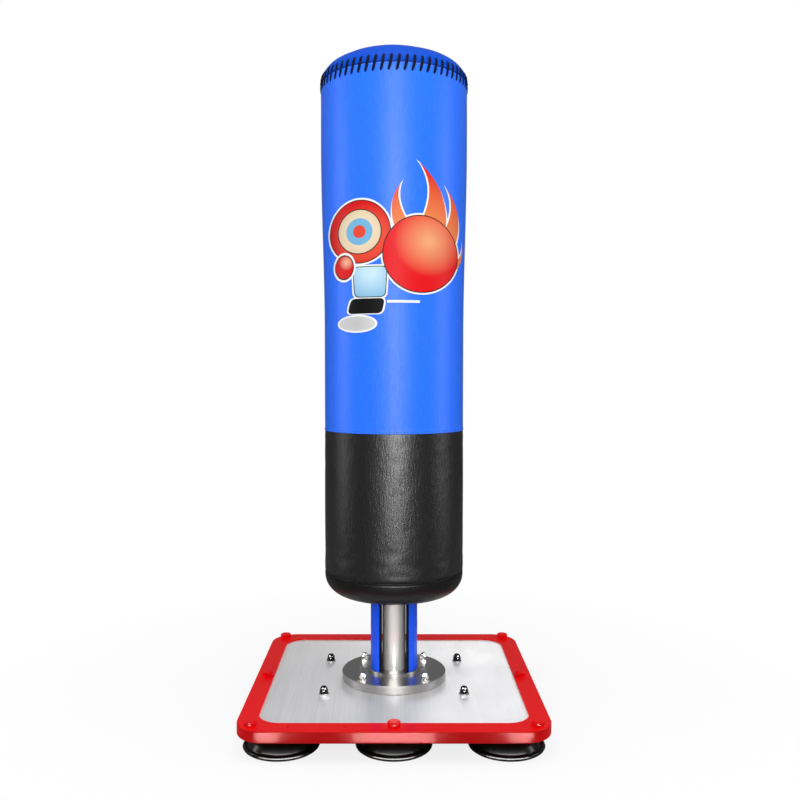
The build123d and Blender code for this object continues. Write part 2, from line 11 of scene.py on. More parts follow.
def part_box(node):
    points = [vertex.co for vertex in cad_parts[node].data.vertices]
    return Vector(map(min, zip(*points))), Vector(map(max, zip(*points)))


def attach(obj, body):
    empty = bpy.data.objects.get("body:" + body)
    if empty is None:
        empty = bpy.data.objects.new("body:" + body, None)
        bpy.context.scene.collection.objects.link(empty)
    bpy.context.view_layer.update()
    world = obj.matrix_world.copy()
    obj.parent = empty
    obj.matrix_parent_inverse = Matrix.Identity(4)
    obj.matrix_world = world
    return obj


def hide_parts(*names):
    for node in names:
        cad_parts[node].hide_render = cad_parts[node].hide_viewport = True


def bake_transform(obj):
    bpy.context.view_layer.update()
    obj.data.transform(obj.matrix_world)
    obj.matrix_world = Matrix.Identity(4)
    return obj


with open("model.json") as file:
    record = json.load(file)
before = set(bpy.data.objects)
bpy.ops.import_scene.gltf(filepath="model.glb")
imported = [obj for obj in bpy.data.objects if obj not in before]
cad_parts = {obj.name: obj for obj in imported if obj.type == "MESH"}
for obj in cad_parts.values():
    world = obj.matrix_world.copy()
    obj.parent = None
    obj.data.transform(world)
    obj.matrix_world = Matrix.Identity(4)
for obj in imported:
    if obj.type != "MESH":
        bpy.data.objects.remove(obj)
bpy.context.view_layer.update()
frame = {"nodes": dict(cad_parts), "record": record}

MM = 0.001
TAU = 2 * math.pi

# ---- places read from the frame
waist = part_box("cover_upper")[0].z
seam_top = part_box("cover_upper")[1].z
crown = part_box("top_cap")[1].z
bag_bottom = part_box("bottom_cap")[0].z
piping_low, piping_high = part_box("bottom_piping")
seam_bottom = (piping_low.z + piping_high.z) / 2
low_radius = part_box("cover_lower")[1].x
shoulder_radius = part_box("cover_upper")[1].x
liner_low, liner_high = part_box("well_liner")
COVER = 1.8 * MM
mouth_radius = liner_high.x - COVER
cavity_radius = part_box("core_tube")[1].x + 2 * MM
bottom_shoulder, bottom_middle = seam_bottom - 7 * MM, mouth_radius + 4 * MM

# ---- sizes that only the looks need
TAPER_LOW, TAPER_HIGH = 0.80, 1.20
DOME_FULLNESS = 0.62
CORE_BORE, TOP_FOAM_BORE = 31 * MM, 46 * MM
STITCHES = 62
STITCH_REACH = 18 * MM
STITCH_WIDTH = 6.2 * MM
STITCH_LEAN = 0.20
RING_STITCHES = 132
LINE_PITCH = 7 * MM
STITCH_SHARE = 0.62
SEGMENTS = STITCHES * 4
BACK = math.pi / 2


def smoothstep(low, high, value):
    """0 below low, 1 above high and a smooth turn in between."""
    share = np.clip((np.asarray(value, float) - low) / (high - low), 0, 1)
    return share * share * (3 - 2 * share)


def bag_radius(level):
    """The bag's outer radius at a height: straight below, wider towards the shoulder."""
    return low_radius + (shoulder_radius - low_radius) * smoothstep(TAPER_LOW, TAPER_HIGH, level)


# ---- mesh helpers
def new_piece(name, vertices, faces):
    """A smooth-shaded mesh object in the scene from plain lists."""
    mesh = bpy.data.meshes.new(name)
    mesh.from_pydata([tuple(v) for v in vertices], [], [tuple(f) for f in faces])
    mesh.validate()
    mesh.shade_smooth()
    piece = bpy.data.objects.new(name, mesh)
    bpy.context.scene.collection.objects.link(piece)
    return piece


def place_piece(piece, body, material, replaced=()):
    """Gives a piece its material, lets it ride, and hides the CAD nodes it stands for."""
    piece.data.materials.clear()
    piece.data.materials.append(material)
    if body:
        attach(piece, body)
    if replaced:
        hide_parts(*replaced)
    return piece


def tidy_mesh(piece):
    """Joins vertices that share a place and makes the normals agree."""
    work = bmesh.new()
    work.from_mesh(piece.data)
    bmesh.ops.remove_doubles(work, verts=work.verts, dist=1e-6)
    bmesh.ops.dissolve_degenerate(work, edges=work.edges, dist=1e-7)
    bmesh.ops.recalc_face_normals(work, faces=work.faces)
    work.to_mesh(piece.data)
    work.free()
    piece.data.shade_smooth()


def ring_faces(rings, around, closed_round=True):
    """Faces between consecutive rings of vertices that are numbered ring after ring."""
    faces = []
    for ring in range(rings - 1):
        for step in range(around if closed_round else around - 1):
            after = (step + 1) % around
            first, second = ring * around, (ring + 1) * around
            faces.append((first + step, first + after, second + after, second + step))
    return faces


def lathe(name, profile, segments=SEGMENTS, center=(0, 0)):
    """A surface turned about a vertical axis from (radius, height) points."""
    angles = np.arange(segments) * TAU / segments
    x, y = np.cos(angles), np.sin(angles)
    rings = [
        np.column_stack([center[0] + r * x, center[1] + r * y, np.full(segments, z)])
        for r, z in profile
    ]
    piece = new_piece(name, np.concatenate(rings), ring_faces(len(profile), segments))
    tidy_mesh(piece)
    return piece


def coordinates(piece):
    """The piece's vertices as an array of points."""
    flat = np.empty(len(piece.data.vertices) * 3)
    piece.data.vertices.foreach_get("co", flat)
    return flat.reshape(-1, 3)


def set_coordinates(piece, points):
    """Moves the piece's vertices to the given points."""
    piece.data.vertices.foreach_set("co", np.asarray(points, np.float32).ravel())
    piece.data.update()


def subdivide(piece):
    """Subdivides a piece once, for good."""
    modifier = piece.modifiers.new("subdivide", "SUBSURF")
    modifier.levels = 1
    graph = bpy.context.evaluated_depsgraph_get()
    mesh = bpy.data.meshes.new_from_object(piece.evaluated_get(graph))
    piece.modifiers.clear()
    coarse = piece.data
    piece.data = mesh
    bpy.data.meshes.remove(coarse)


def join(pieces, name):
    """Joins several objects' meshes into one object."""
    work = bmesh.new()
    for piece in pieces:
        work.from_mesh(piece.data)
        bpy.data.objects.remove(piece)
    mesh = bpy.data.meshes.new(name)
    work.to_mesh(mesh)
    work.free()
    mesh.shade_smooth()
    joined = bpy.data.objects.new(name, mesh)
    bpy.context.scene.collection.objects.link(joined)
    return joined


def swept(path, normals, widths, heights, around=8, closed=False):
    """(vertices, faces) of an oval section drawn along a path; normals point across its height."""
    path, normals = np.asarray(path, float), np.asarray(normals, float)
    if closed:
        tangents = np.roll(path, -1, 0) - np.roll(path, 1, 0)
    else:
        tangents = np.gradient(path, axis=0)
    tangents /= np.linalg.norm(tangents, axis=1, keepdims=True)
    sides = np.cross(tangents, normals)
    sides /= np.linalg.norm(sides, axis=1, keepdims=True)
    ups = np.cross(sides, tangents)
    turns = np.arange(around) * TAU / around
    widths = np.broadcast_to(widths, len(path))
    heights = np.broadcast_to(heights, len(path))
    vertices = [
        point + side * width * math.cos(turn) + up * height * math.sin(turn)
        for point, side, up, width, height in zip(path, sides, ups, widths, heights)
        for turn in turns
    ]
    faces = ring_faces(len(path), around)
    last = (len(path) - 1) * around
    if closed:
        faces += [(last + s, last + (s + 1) % around, (s + 1) % around, s) for s in range(around)]
    else:
        faces += [tuple(reversed(range(around))), tuple(last + s for s in range(around))]
    return vertices, faces


def piece_from_parts(name, parts):
    """One mesh object from several (vertices, faces) lists."""
    vertices, faces = [], []
    for part_vertices, part_faces in parts:
        start = len(vertices)
        vertices += list(part_vertices)
        faces += [tuple(start + index for index in face) for face in part_faces]
    return new_piece(name, vertices, faces)


# ---- material helpers
def add_node(tree, kind, inputs=None, **settings):
    """Adds a node, sets its properties, and fills its inputs with values or other outputs."""
    node = tree.nodes.new("ShaderNode" + kind)
    for key, value in settings.items():
        setattr(node, key, value)
    for key, value in (inputs or {}).items():
        if isinstance(value, bpy.types.NodeSocket):
            tree.links.new(value, node.inputs[key])
        else:
            node.inputs[key].default_value = value
    return node


def start_material(name, **values):
    """A node material: itself, its tree, its surface shader and object coordinates."""
    material = bpy.data.materials.new(name)
    material.use_nodes = True
    tree = material.node_tree
    shader = tree.nodes["Principled BSDF"]
    for key, value in values.items():
        shader.inputs[key.replace("_", " ")].default_value = value
    place = add_node(tree, "TexCoord").outputs["Object"]
    return material, tree, shader, place


def stretched(tree, place, scale):
    """Object coordinates scaled along each axis."""
    return add_node(tree, "Mapping", {"Vector": place, "Scale": scale}).outputs["Vector"]


def noise_value(tree, place, scale, detail=3.0, roughness=0.55, distortion=0.0):
    """The value of a noise texture."""
    settings = {
        "Vector": place,
        "Scale": scale,
        "Detail": detail,
        "Roughness": roughness,
        "Distortion": distortion,
    }
    return add_node(tree, "TexNoise", settings).outputs["Fac"]


def ramp(tree, value, stops):
    """A colour ramp through (position, colour) stops."""
    node = add_node(tree, "ValToRGB", {"Fac": value})
    elements = node.color_ramp.elements
    while len(elements) < len(stops):
        elements.new(0.5)
    for element, (position, color) in zip(elements, stops):
        element.position = position
        element.color = (*color, 1)
    return node.outputs["Color"]


def grey(value):
    """A grey colour."""
    return (value, value, value)


def span(tree, value, low, high, start=0.0, end=1.0):
    """Maps start..end to low..high."""
    inputs = {"Value": value, "From Min": start, "From Max": end, "To Min": low, "To Max": high}
    return add_node(tree, "MapRange", inputs).outputs["Result"]


def finish_surface(tree, shader, tone, roughness, heights):
    """Links colour and roughness, and stacks (height, strength, distance) bumps into the normal."""
    tree.links.new(tone, shader.inputs["Base Color"])
    if roughness is not None:
        tree.links.new(roughness, shader.inputs["Roughness"])
    normal = None
    for height, strength, distance in heights:
        inputs = {"Height": height, "Strength": strength, "Distance": distance}
        if normal is not None:
            inputs["Normal"] = normal
        normal = add_node(tree, "Bump", inputs).outputs["Normal"]
    tree.links.new(normal, shader.inputs["Normal"])


def mix_colors(tree, factor, first, second):
    """Mixes two colours or colour outputs."""
    node = add_node(tree, "Mix", data_type="RGBA")
    for socket, value in zip((node.inputs[0], node.inputs[6], node.inputs[7]), (factor, first, second)):
        if isinstance(value, bpy.types.NodeSocket):
            tree.links.new(value, socket)
        else:
            socket.default_value = value if isinstance(value, float) else (*value, 1)
    return node.outputs[2]


def plus(tree, first, second):
    """The sum of two values."""
    return add_node(tree, "Math", {0: first, 1: second}, operation="ADD").outputs[0]


# ---- materials
def vinyl(name, color, deep, light, gloss=0.34, specular=0.5):
    """Grained artificial leather: small cells, upright creases and faint scuffs, with painted shade in the
    crease valleys and a painted highlight on their crests.
    """
    material, tree, shader, place = start_material(name, Specular_IOR_Level=specular)
    cells = add_node(
        tree, "TexVoronoi", {"Vector": place, "Scale": 520.0}, feature="DISTANCE_TO_EDGE"
    ).outputs["Distance"]
    pores = noise_value(tree, place, 1400.0, 2.0)
    creases = noise_value(tree, stretched(tree, place, (1, 1, 0.22)), 300.0, 3.0, 0.55, 0.6)
    waves = noise_value(tree, place, 7.0, 2.0)
    scuffs = noise_value(tree, stretched(tree, place, (1, 1, 2.0)), 26.0, 6.0, 0.7, 1.6)
    # Painted shade and highlight: the tone follows the crease bump, deep in its valleys and light on its
    # crests.
    tone = ramp(tree, creases, [(0.30, deep), (0.55, color), (0.85, light)])
    tone = mix_colors(tree, span(tree, waves, 0.0, 0.25), tone, deep)
    worn = ramp(tree, scuffs, [(0.62, grey(0)), (0.80, grey(1))])
    tone = mix_colors(tree, span(tree, worn, 0.0, 0.06), tone, light)
    smooth = span(tree, creases, gloss + 0.08, gloss - 0.06)
    roughness = plus(tree, smooth, span(tree, worn, 0.0, 0.10))
    heights = [
        (waves, 0.2, 3.0 * MM),
        (creases, 0.5, 1.1 * MM),
        (cells, 0.35, 0.35 * MM),
        (pores, 0.12, 0.1 * MM),
    ]
    finish_surface(tree, shader, tone, roughness, heights)
    return material


def metal(name, color, rough, brushed=(1, 1, 1), streak=0.0, metallic=1.0, coat=0.0, scale=900.0):
    """Bare, plated or painted metal with fine scratches; brushed gives the stretch of its grain."""
    material, tree, shader, place = start_material(name, Metallic=metallic, Coat_Weight=coat)
    grain = noise_value(tree, stretched(tree, place, brushed), scale, 4.0, 0.7)
    smudge = noise_value(tree, place, 14.0, 4.0, 0.6, 0.6)
    scratch = noise_value(tree, stretched(tree, place, (2.5, 0.2, 1.0)), 320.0, 2.0, 0.5, 2.0)
    dark = tuple(c * (1 - streak) for c in color)
    tone = mix_colors(tree, grain, dark, color)
    roughness = plus(tree, span(tree, smudge, rough * 0.7, rough * 1.35), span(tree, grain, 0.0, streak))
    lines = ramp(tree, scratch, [(0.46, grey(0)), (0.5, grey(1)), (0.54, grey(0))])
    heights = [(grain, 0.03 + streak * 0.5, 0.06 * MM), (lines, 0.04, 0.03 * MM)]
    finish_surface(tree, shader, tone, roughness, heights)
    return material


def moulded(name, color, deep, rough, coat, specular=0.5):
    """Injection-moulded plastic or rubber: faint orange peel, flow marks and rubbed high spots."""
    material, tree, shader, place = start_material(
        name, Coat_Weight=coat, Coat_Roughness=0.1, Specular_IOR_Level=specular
    )
    peel = noise_value(tree, place, 500.0, 2.0)
    flow = noise_value(tree, place, 9.0, 3.0, 0.5, 1.2)
    dust = noise_value(tree, place, 60.0, 6.0, 0.7)
    tone = mix_colors(tree, span(tree, flow, 0.0, 0.6), color, deep)
    roughness = span(tree, dust, rough * 0.75, rough * 1.4)
    finish_surface(tree, shader, tone, roughness, [(flow, 0.05, 1.0 * MM), (peel, 0.02, 0.05 * MM)])
    return material


def plywood(name):
    """Pale ply: long grain, darker late wood and open pores."""
    material, tree, shader, place = start_material(name)
    grain = noise_value(tree, stretched(tree, place, (0.07, 1, 1)), 160.0, 6.0, 0.6, 0.8)
    wave = {"Vector": stretched(tree, place, (0.15, 1, 1)), "Scale": 9.0, "Distortion": 7.0, "Detail": 3.0}
    rings = add_node(tree, "TexWave", wave, bands_direction="Y").outputs["Fac"]
    stops = [(0.25, (0.30, 0.18, 0.09)), (0.6, (0.60, 0.42, 0.24)), (0.9, (0.72, 0.55, 0.34))]
    tone = ramp(tree, grain, stops)
    tone = mix_colors(tree, span(tree, rings, 0.0, 0.4), tone, (0.38, 0.24, 0.12))
    roughness = span(tree, grain, 0.75, 0.5)
    finish_surface(tree, shader, tone, roughness, [(grain, 0.3, 0.2 * MM), (rings, 0.1, 0.2 * MM)])
    return material


def foam(name, color):
    """Closed-cell foam: small open cells over soft mottling."""
    material, tree, shader, place = start_material(name, Roughness=0.9, Specular_IOR_Level=0.2)
    cells = add_node(tree, "TexVoronoi", {"Vector": place, "Scale": 480.0}).outputs["Distance"]
    mottle = noise_value(tree, place, 40.0, 4.0)
    light = tuple(min(1.0, c * 1.5 + 0.004) for c in color)
    tone = mix_colors(tree, mottle, color, light)
    # Painted shade: the pits of the open cells are darkened towards black.
    tone = mix_colors(tree, span(tree, cells, 0.4, 0.0), tone, grey(0.0))
    finish_surface(tree, shader, tone, None, [(cells, 0.5, 0.5 * MM), (mottle, 0.2, 1.0 * MM)])
    return material


def cord(name, color, light):
    """Braided lace or thread: slanted strands over a matt ground."""
    material, tree, shader, place = start_material(name, Roughness=0.5, Specular_IOR_Level=0.12)
    wave = {"Vector": place, "Scale": 420.0, "Distortion": 2.0, "Detail": 2.0}
    weave = add_node(tree, "TexWave", wave, bands_direction="DIAGONAL").outputs["Fac"]
    fuzz = noise_value(tree, place, 1400.0, 2.0)
    tone = mix_colors(tree, weave, color, light)
    finish_surface(tree, shader, tone, None, [(weave, 0.5, 0.3 * MM), (fuzz, 0.3, 0.15 * MM)])
    return material


def ink(name, near_color, far_color, center=(0, 0), near=0.0, far=0.1):
    """Screen-printed ink whose colour runs from one tone to another away from a centre."""
    material, tree, shader, place = start_material(name, Specular_IOR_Level=0.15)
    middle = (center[0], 0, center[1])
    flat = stretched(tree, place, (1, 0, 1))
    away = add_node(tree, "VectorMath", {0: flat, 1: middle}, operation="DISTANCE").outputs["Value"]
    tone = mix_colors(tree, span(tree, away, 0.0, 1.0, near, far), near_color, far_color)
    grain = noise_value(tree, stretched(tree, place, (1, 1, 0.22)), 190.0, 3.0, 0.6, 0.7)
    speckle = noise_value(tree, place, 900.0, 2.0)
    faded = mix_colors(tree, span(tree, speckle, 0.0, 0.02), tone, grey(0.3))
    roughness = span(tree, grain, 0.5, 0.38)
    finish_surface(tree, shader, faded, roughness, [(grain, 0.2, 0.5 * MM), (speckle, 0.1, 0.1 * MM)])
    return material


# Each vinyl's deep and light tones are the painted shade in its crease valleys and the painted highlight on
# their crests; light also tints the real scuffs.
blue_vinyl = vinyl("blue_vinyl", (0.016, 0.165, 1.0), (0.012, 0.145, 0.95), (0.028, 0.19, 1.0), 0.32, 0.35)
cap_vinyl = vinyl("cap_vinyl", (0.002, 0.070, 0.55), (0.001, 0.052, 0.45), (0.004, 0.085, 0.62), 0.42, 0.08)
pad_vinyl = vinyl("pad_vinyl", (0.010, 0.10, 0.90), (0.006, 0.08, 0.80), (0.02, 0.12, 0.95), 0.30, 0.2)
black_vinyl = vinyl("black_vinyl", grey(0.010), grey(0.006), grey(0.014), 0.32, 0.4)
# A darker copy of the black vinyl: painted shade for the bag's downward-facing bottom and the cord in its
# seam.
painted_shade_vinyl = vinyl("painted_shade_vinyl", grey(0.006), grey(0.004), grey(0.010), 0.34, 0.3)
chrome = metal("chrome", (0.80, 0.79, 0.77), 0.24)
post_steel = metal("post_steel", (0.78, 0.77, 0.75), 0.22, metallic=0.6)
bright_steel = metal("bright_steel", (0.72, 0.72, 0.70), 0.13)
# The flange's steel is the chrome made darker: painted shade for the dim reflections on the flange's top.
flange_steel = metal("flange_steel", (0.50, 0.49, 0.48), 0.26, streak=0.10, scale=300.0)
brushed_plate = metal("brushed_plate", (0.92, 0.92, 0.93), 0.34, (1, 0.015, 1), 0.30, 0.62, scale=260.0)
zinc_steel = metal("zinc_steel", (0.66, 0.66, 0.63), 0.30, (1, 1, 0.3), 0.12)
black_steel = metal("black_steel", grey(0.001), 0.12, streak=0.01, metallic=0.0)
spring_steel = metal("spring_steel", (0.05, 0.05, 0.055), 0.32, streak=0.15, metallic=0.6, coat=0.3)
red_plastic = moulded("red_plastic", (1.0, 0.004, 0.007), (0.96, 0.003, 0.005), 0.28, 0.10, 0.10)
cup_rubber = moulded("cup_rubber", grey(0.001), grey(0.0005), 0.22, 0.1, 0.25)
nylon = moulded("nylon", (0.80, 0.78, 0.70), (0.70, 0.68, 0.60), 0.42, 0.1)
ply = plywood("ply")
black_foam = foam("black_foam", (0.002, 0.003, 0.010))
padding_foam = foam("padding_foam", (0.45, 0.45, 0.42))
lace = cord("lace", (0.001, 0.002, 0.010), (0.003, 0.005, 0.020))
blue_thread = cord("blue_thread", (0.01, 0.06, 0.50), (0.02, 0.10, 0.65))
black_thread = cord("black_thread", grey(0.008), grey(0.02))

SLOT_MATERIALS = {
    "cup_rubber": cup_rubber,
    "zinc_steel": zinc_steel,
    "plywood": ply,
    "brushed_plate": brushed_plate,
    "red_plastic": red_plastic,
    "black_steel": black_steel,
    "chrome_steel": chrome,
    "spring_steel": spring_steel,
    "blue_vinyl": blue_vinyl,
    "black_vinyl": black_vinyl,
    "lacing_cord": lace,
    "nylon": nylon,
    "black_foam": black_foam,
    "padding": padding_foam,
}
# The flange gets the darkened steel in place of its slot's material: painted shade for its dim reflections.
NODE_MATERIALS = {"flange": flange_steel, "flange_washers": bright_steel, "post_tube": post_steel}


def dress_cad_nodes():
    """Gives every CAD node a procedural material: its own one for a few nodes, else the one of its slot in
    the record.
    """
    for part in frame["record"]["subparts"]:
        node = frame["nodes"][part["node"]]
        material = NODE_MATERIALS.get(part["node"], SLOT_MATERIALS[part["material_slot"]])
        if not node.material_slots:
            node.data.materials.append(material)
        for place in node.material_slots:
            place.material = material


# ---- bag covers
def dome_point(share):
    """(radius, height) on the crown's section, from its edge at 0 to its top at 1."""
    rest = 1 - share
    weights = (rest**3, 3 * share * rest**2, 3 * share**2 * rest, share**3)
    radius = sum(w * r for w, r in zip(weights, (1.0, 1.0, DOME_FULLNESS, 0.0)))
    height = sum(w * h for w, h in zip(weights, (0.0, DOME_FULLNESS, 1.0, 1.0)))
    return shoulder_radius * radius, seam_top + (crown - seam_top) * height


def draw_in(points, reach):
    """Pulls a seam's edge in under every stitch; reach is each point's distance from the seam."""
    angle = np.arctan2(points[:, 1], points[:, 0])
    radius = np.maximum(np.hypot(points[:, 0], points[:, 1]), 1e-6)
    wave = 0.5 + 0.5 * np.cos(angle * STITCHES)
    drawn = 1.3 * MM * wave * np.exp(-np.abs(reach) / (7 * MM))
    points[:, :2] *= (1 - drawn / radius)[:, None]


def soft_folds(points, seams, depth=0.25 * MM):
    """Moves points in and out a little, as padding under a tight cover does."""
    moved = points.copy()
    for index, (x, y, z) in enumerate(points):
        swell = noise.noise(Vector((x * 9, y * 9, z * 5)))
        crease = noise.noise(Vector((x * 38, y * 38, z * 9 + 4)))
        near = sum(math.exp(-abs(z - seam) / 0.03) for seam in seams)
        radius = max(math.hypot(x, y), 1e-6)
        moved[index, :2] *= 1 + depth * (swell + crease * (0.15 + 0.8 * near)) / radius
    return moved


def simulate_cloth(piece, pinned, pressure, limit, frames=20):
    """Inflates a cover held at its seams, then scales its movement down to about the limit."""
    group = piece.vertex_groups.new(name="pinned")
    group.add([int(index) for index in np.flatnonzero(pinned)], 1.0, "REPLACE")
    start = coordinates(piece)
    modifier = piece.modifiers.new("cloth", "CLOTH")
    settings = modifier.settings
    settings.quality = 5
    settings.mass = 0.4
    settings.tension_stiffness = 60
    settings.compression_stiffness = 60
    settings.shear_stiffness = 20
    settings.bending_stiffness = 6
    settings.use_pressure = True
    settings.uniform_pressure_force = pressure
    settings.shrink_min = -0.012
    settings.vertex_group_mass = group.name
    settings.effector_weights.gravity = 0
    modifier.collision_settings.use_collision = False
    for step in range(1, frames + 1):
        bpy.context.scene.frame_set(step)
    graph = bpy.context.evaluated_depsgraph_get()
    settled = np.array([vertex.co for vertex in piece.evaluated_get(graph).data.vertices])
    piece.modifiers.remove(modifier)
    piece.vertex_groups.clear()
    bpy.context.scene.frame_set(1)
    moved = settled - start
    length = np.linalg.norm(moved, axis=1, keepdims=True)
    moved *= limit / max(float(np.percentile(length, 95)), limit)
    set_coordinates(piece, start + moved)


def cover_sleeve(name, profile, seams):
    """A turned cover with soft folds, blown out a little by a cloth simulation."""
    piece = lathe(name, profile)
    points = soft_folds(coordinates(piece), seams)
    set_coordinates(piece, points)
    near = np.min([np.abs(points[:, 2] - seam) for seam in seams], axis=0)
    simulate_cloth(piece, near < 7 * MM, 4.0, 0.5 * MM)
    return piece


def sleeve_rows(low, high, step=7.5 * MM):
    """(radius, height) points down the bag's side between two heights."""
    levels = np.linspace(low, high, round((high - low) / step) + 1)
    return [(float(bag_radius(level)), float(level)) for level in levels]


def build_upper_cover():
    """The blue sleeve: a folded hem over the black one below, and an edge drawn in at the lacing."""
    hem, edge = low_radius, shoulder_radius
    profile = [
        (hem - 1.5 * MM, waist + 1.0 * MM),
        (hem + 0.2 * MM, waist - 0.2 * MM),
        (hem + 1.1 * MM, waist + 0.9 * MM),
        (hem + 1.0 * MM, waist + 3.0 * MM),
        *sleeve_rows(waist + 6 * MM, seam_top - 8 * MM),
        (edge, seam_top - 4 * MM),
        (edge - 0.2 * MM, seam_top - 2 * MM),
        (edge - 1.0 * MM, seam_top - 0.6 * MM),
        (edge - 3.0 * MM, seam_top - 0.3 * MM),
    ]
    piece = cover_sleeve("upper_cover", profile, [waist, seam_top])
    points = coordinates(piece)
    draw_in(points, points[:, 2] - seam_top)
    set_coordinates(piece, points)
    subdivide(piece)
    return place_piece(piece, "bag", blue_vinyl, ["cover_upper"])


def build_lower_cover():
    """The black sleeve between the waist and the seam over the bottom."""
    radius = low_radius
    profile = [
        (radius - 3.0 * MM, seam_bottom + 1.2 * MM),
        (radius - 1.2 * MM, seam_bottom + 1.8 * MM),
        (radius - 0.2 * MM, seam_bottom + 4.0 * MM),
        *sleeve_rows(seam_bottom + 9 * MM, waist - 4 * MM),
        (radius - 0.2 * MM, waist + 0.5 * MM),
        (radius - 0.6 * MM, waist + 4.0 * MM),
    ]
    piece = cover_sleeve("lower_cover", profile, [seam_bottom, waist])
    subdivide(piece)
    return place_piece(piece, "bag", black_vinyl, ["cover_lower"])


def build_top_crown():
    """The domed crown, drawn in at each stitch of the lacing."""
    profile = [
        (shoulder_radius - 3.0 * MM, seam_top + 0.3 * MM),
        (shoulder_radius - 1.0 * MM, seam_top + 0.6 * MM),
        *[dome_point(share) for share in np.linspace(0.03, 1.0, 34)],
    ]
    piece = lathe("top_crown", profile)
    points = coordinates(piece)
    for index, (x, y, z) in enumerate(points):
        fold = noise.noise(Vector((x, y, z)) * 9) + 0.5 * noise.noise(Vector((x, y, z)) * 22)
        points[index, 2] += fold * 1.2 * MM * (1 - math.exp(-(z - seam_top) / 0.01))
    set_coordinates(piece, points)
    simulate_cloth(piece, points[:, 2] < seam_top + 7 * MM, 3.0, 0.8 * MM)
    points = coordinates(piece)
    draw_in(points, points[:, 2] - seam_top)
    set_coordinates(piece, points)
    subdivide(piece)
    return place_piece(piece, "bag", cap_vinyl, ["top_cap"])


def build_bottom_cap():
    """The black rounded bottom: a swollen edge under its seam and a hem around the mouth."""
    edge, low_seam = low_radius, seam_bottom - 1.5 * MM
    reach, drop = edge - bottom_middle, bottom_shoulder - bag_bottom
    arc = [
        (bottom_middle + reach * math.cos(turn), bottom_shoulder - drop * math.sin(turn))
        for turn in np.linspace(0.08, math.pi / 2, 22)
    ]
    profile = [
        (edge - 3.0 * MM, low_seam + 0.4 * MM),
        (edge - 1.4 * MM, low_seam),
        (edge - 0.1 * MM, low_seam - 1.2 * MM),
        (edge + 0.4 * MM, low_seam - 3.0 * MM),
        (edge + 0.2 * MM, low_seam - 5.0 * MM),
        *arc,
        (bottom_middle - 3.0 * MM, bag_bottom - 0.2 * MM),
        (mouth_radius - 0.6 * MM, bag_bottom + 0.8 * MM),
        (mouth_radius - 0.8 * MM, bag_bottom + 2.4 * MM),
        (mouth_radius - 0.2 * MM, bag_bottom + 4.0 * MM),
    ]
    piece = lathe("bottom_cap_cover", profile)
    points = coordinates(piece)
    for index, point in enumerate(points):
        points[index, :2] *= 1 + noise.noise(Vector(point) * 17) * 0.003
    set_coordinates(piece, points)
    subdivide(piece)
    # The bottom gets the darker copy of the black vinyl: painted shade for its downward-facing side.
    return place_piece(piece, "bag", painted_shade_vinyl, ["bottom_cap"])


def build_bottom_seam_cord():
    """A thin cord sunk in the seam above the rounded bottom."""
    angles = np.arange(SEGMENTS) * TAU / SEGMENTS
    outward = np.column_stack([np.cos(angles), np.sin(angles), np.zeros(SEGMENTS)])
    path = outward * (low_radius - 1.4 * MM) + np.array([0, 0, seam_bottom])
    piece = piece_from_parts("bottom_seam_cord", [swept(path, outward, 1.5 * MM, 1.5 * MM, 12, True)])
    # The seam cord shares the darker vinyl: painted shade in the seam's groove.
    place_piece(piece, "bag", painted_shade_vinyl, ["bottom_piping"])


def build_mouth_liner():
    """The fabric sleeve inside the bag's mouth, slightly gathered."""
    low, high = liner_low.z + 1 * MM, liner_high.z
    profile = [
        (mouth_radius + (cavity_radius - mouth_radius) * share, low + (high - low) * share)
        for share in np.linspace(0, 1, 24)
    ]
    piece = lathe("mouth_liner", profile, SEGMENTS // 2)
    points = coordinates(piece)
    angle = np.arctan2(points[:, 1], points[:, 0])
    share = (points[:, 2] - low) / (high - low)
    gather = 1 + 0.006 * np.sin(angle * 41 + 3 * np.sin(angle * 5)) * np.sin(np.pi * share)
    points[:, :2] *= gather[:, None]
    set_coordinates(piece, points)
    place_piece(piece, "bag", black_vinyl, ["well_liner"])


def build_padding():
    """The foam inside the covers: a core, a wrapped jacket, a skirt and a crown cushion."""
    inset, gap = 3.5 * MM, 1 * MM
    core_low, core_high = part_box("core_foam")
    jacket_low, jacket_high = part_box("foam_jacket")
    skirt_low, skirt_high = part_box("skirt_foam")
    top_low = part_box("top_foam")[0]
    core_radius, edge = core_high.x, 3 * MM
    bottom_reach = low_radius - inset - bottom_middle
    bottom_drop = bottom_shoulder - skirt_low.z
    outlines = {
        "core_foam": [
            (CORE_BORE, core_low.z),
            (core_radius - edge, core_low.z),
            (core_radius, core_low.z + edge),
            (core_radius, core_high.z - edge),
            (core_radius - edge, core_high.z),
            (CORE_BORE, core_high.z),
        ],
        "foam_jacket": [
            (core_radius + gap, jacket_low.z),
            *[(float(bag_radius(z)) - inset, z) for z in np.linspace(jacket_low.z, jacket_high.z, 60)],
            (core_radius + gap, jacket_high.z),
        ],
        "skirt_foam": [
            (cavity_radius + inset, skirt_high.z),
            (low_radius - inset, skirt_high.z),
            *[
                (
                    bottom_middle + bottom_reach * math.cos(turn),
                    bottom_shoulder - bottom_drop * math.sin(turn),
                )
                for turn in np.linspace(0, math.pi / 2, 14)
            ],
            (mouth_radius + inset, skirt_low.z),
            (cavity_radius + inset, skirt_high.z),
        ],
        "top_foam": [
            (TOP_FOAM_BORE, top_low.z),
            (shoulder_radius - inset, top_low.z),
            *[
                (r * (1 - inset / shoulder_radius), z - inset * smoothstep(seam_top, crown, z))
                for r, z in (dome_point(share) for share in np.linspace(0, 1, 24))
            ],
        ],
    }
    for node, outline in outlines.items():
        piece = lathe(node + "_padding", outline, 96)
        place_piece(piece, "bag", padding_foam, [node])


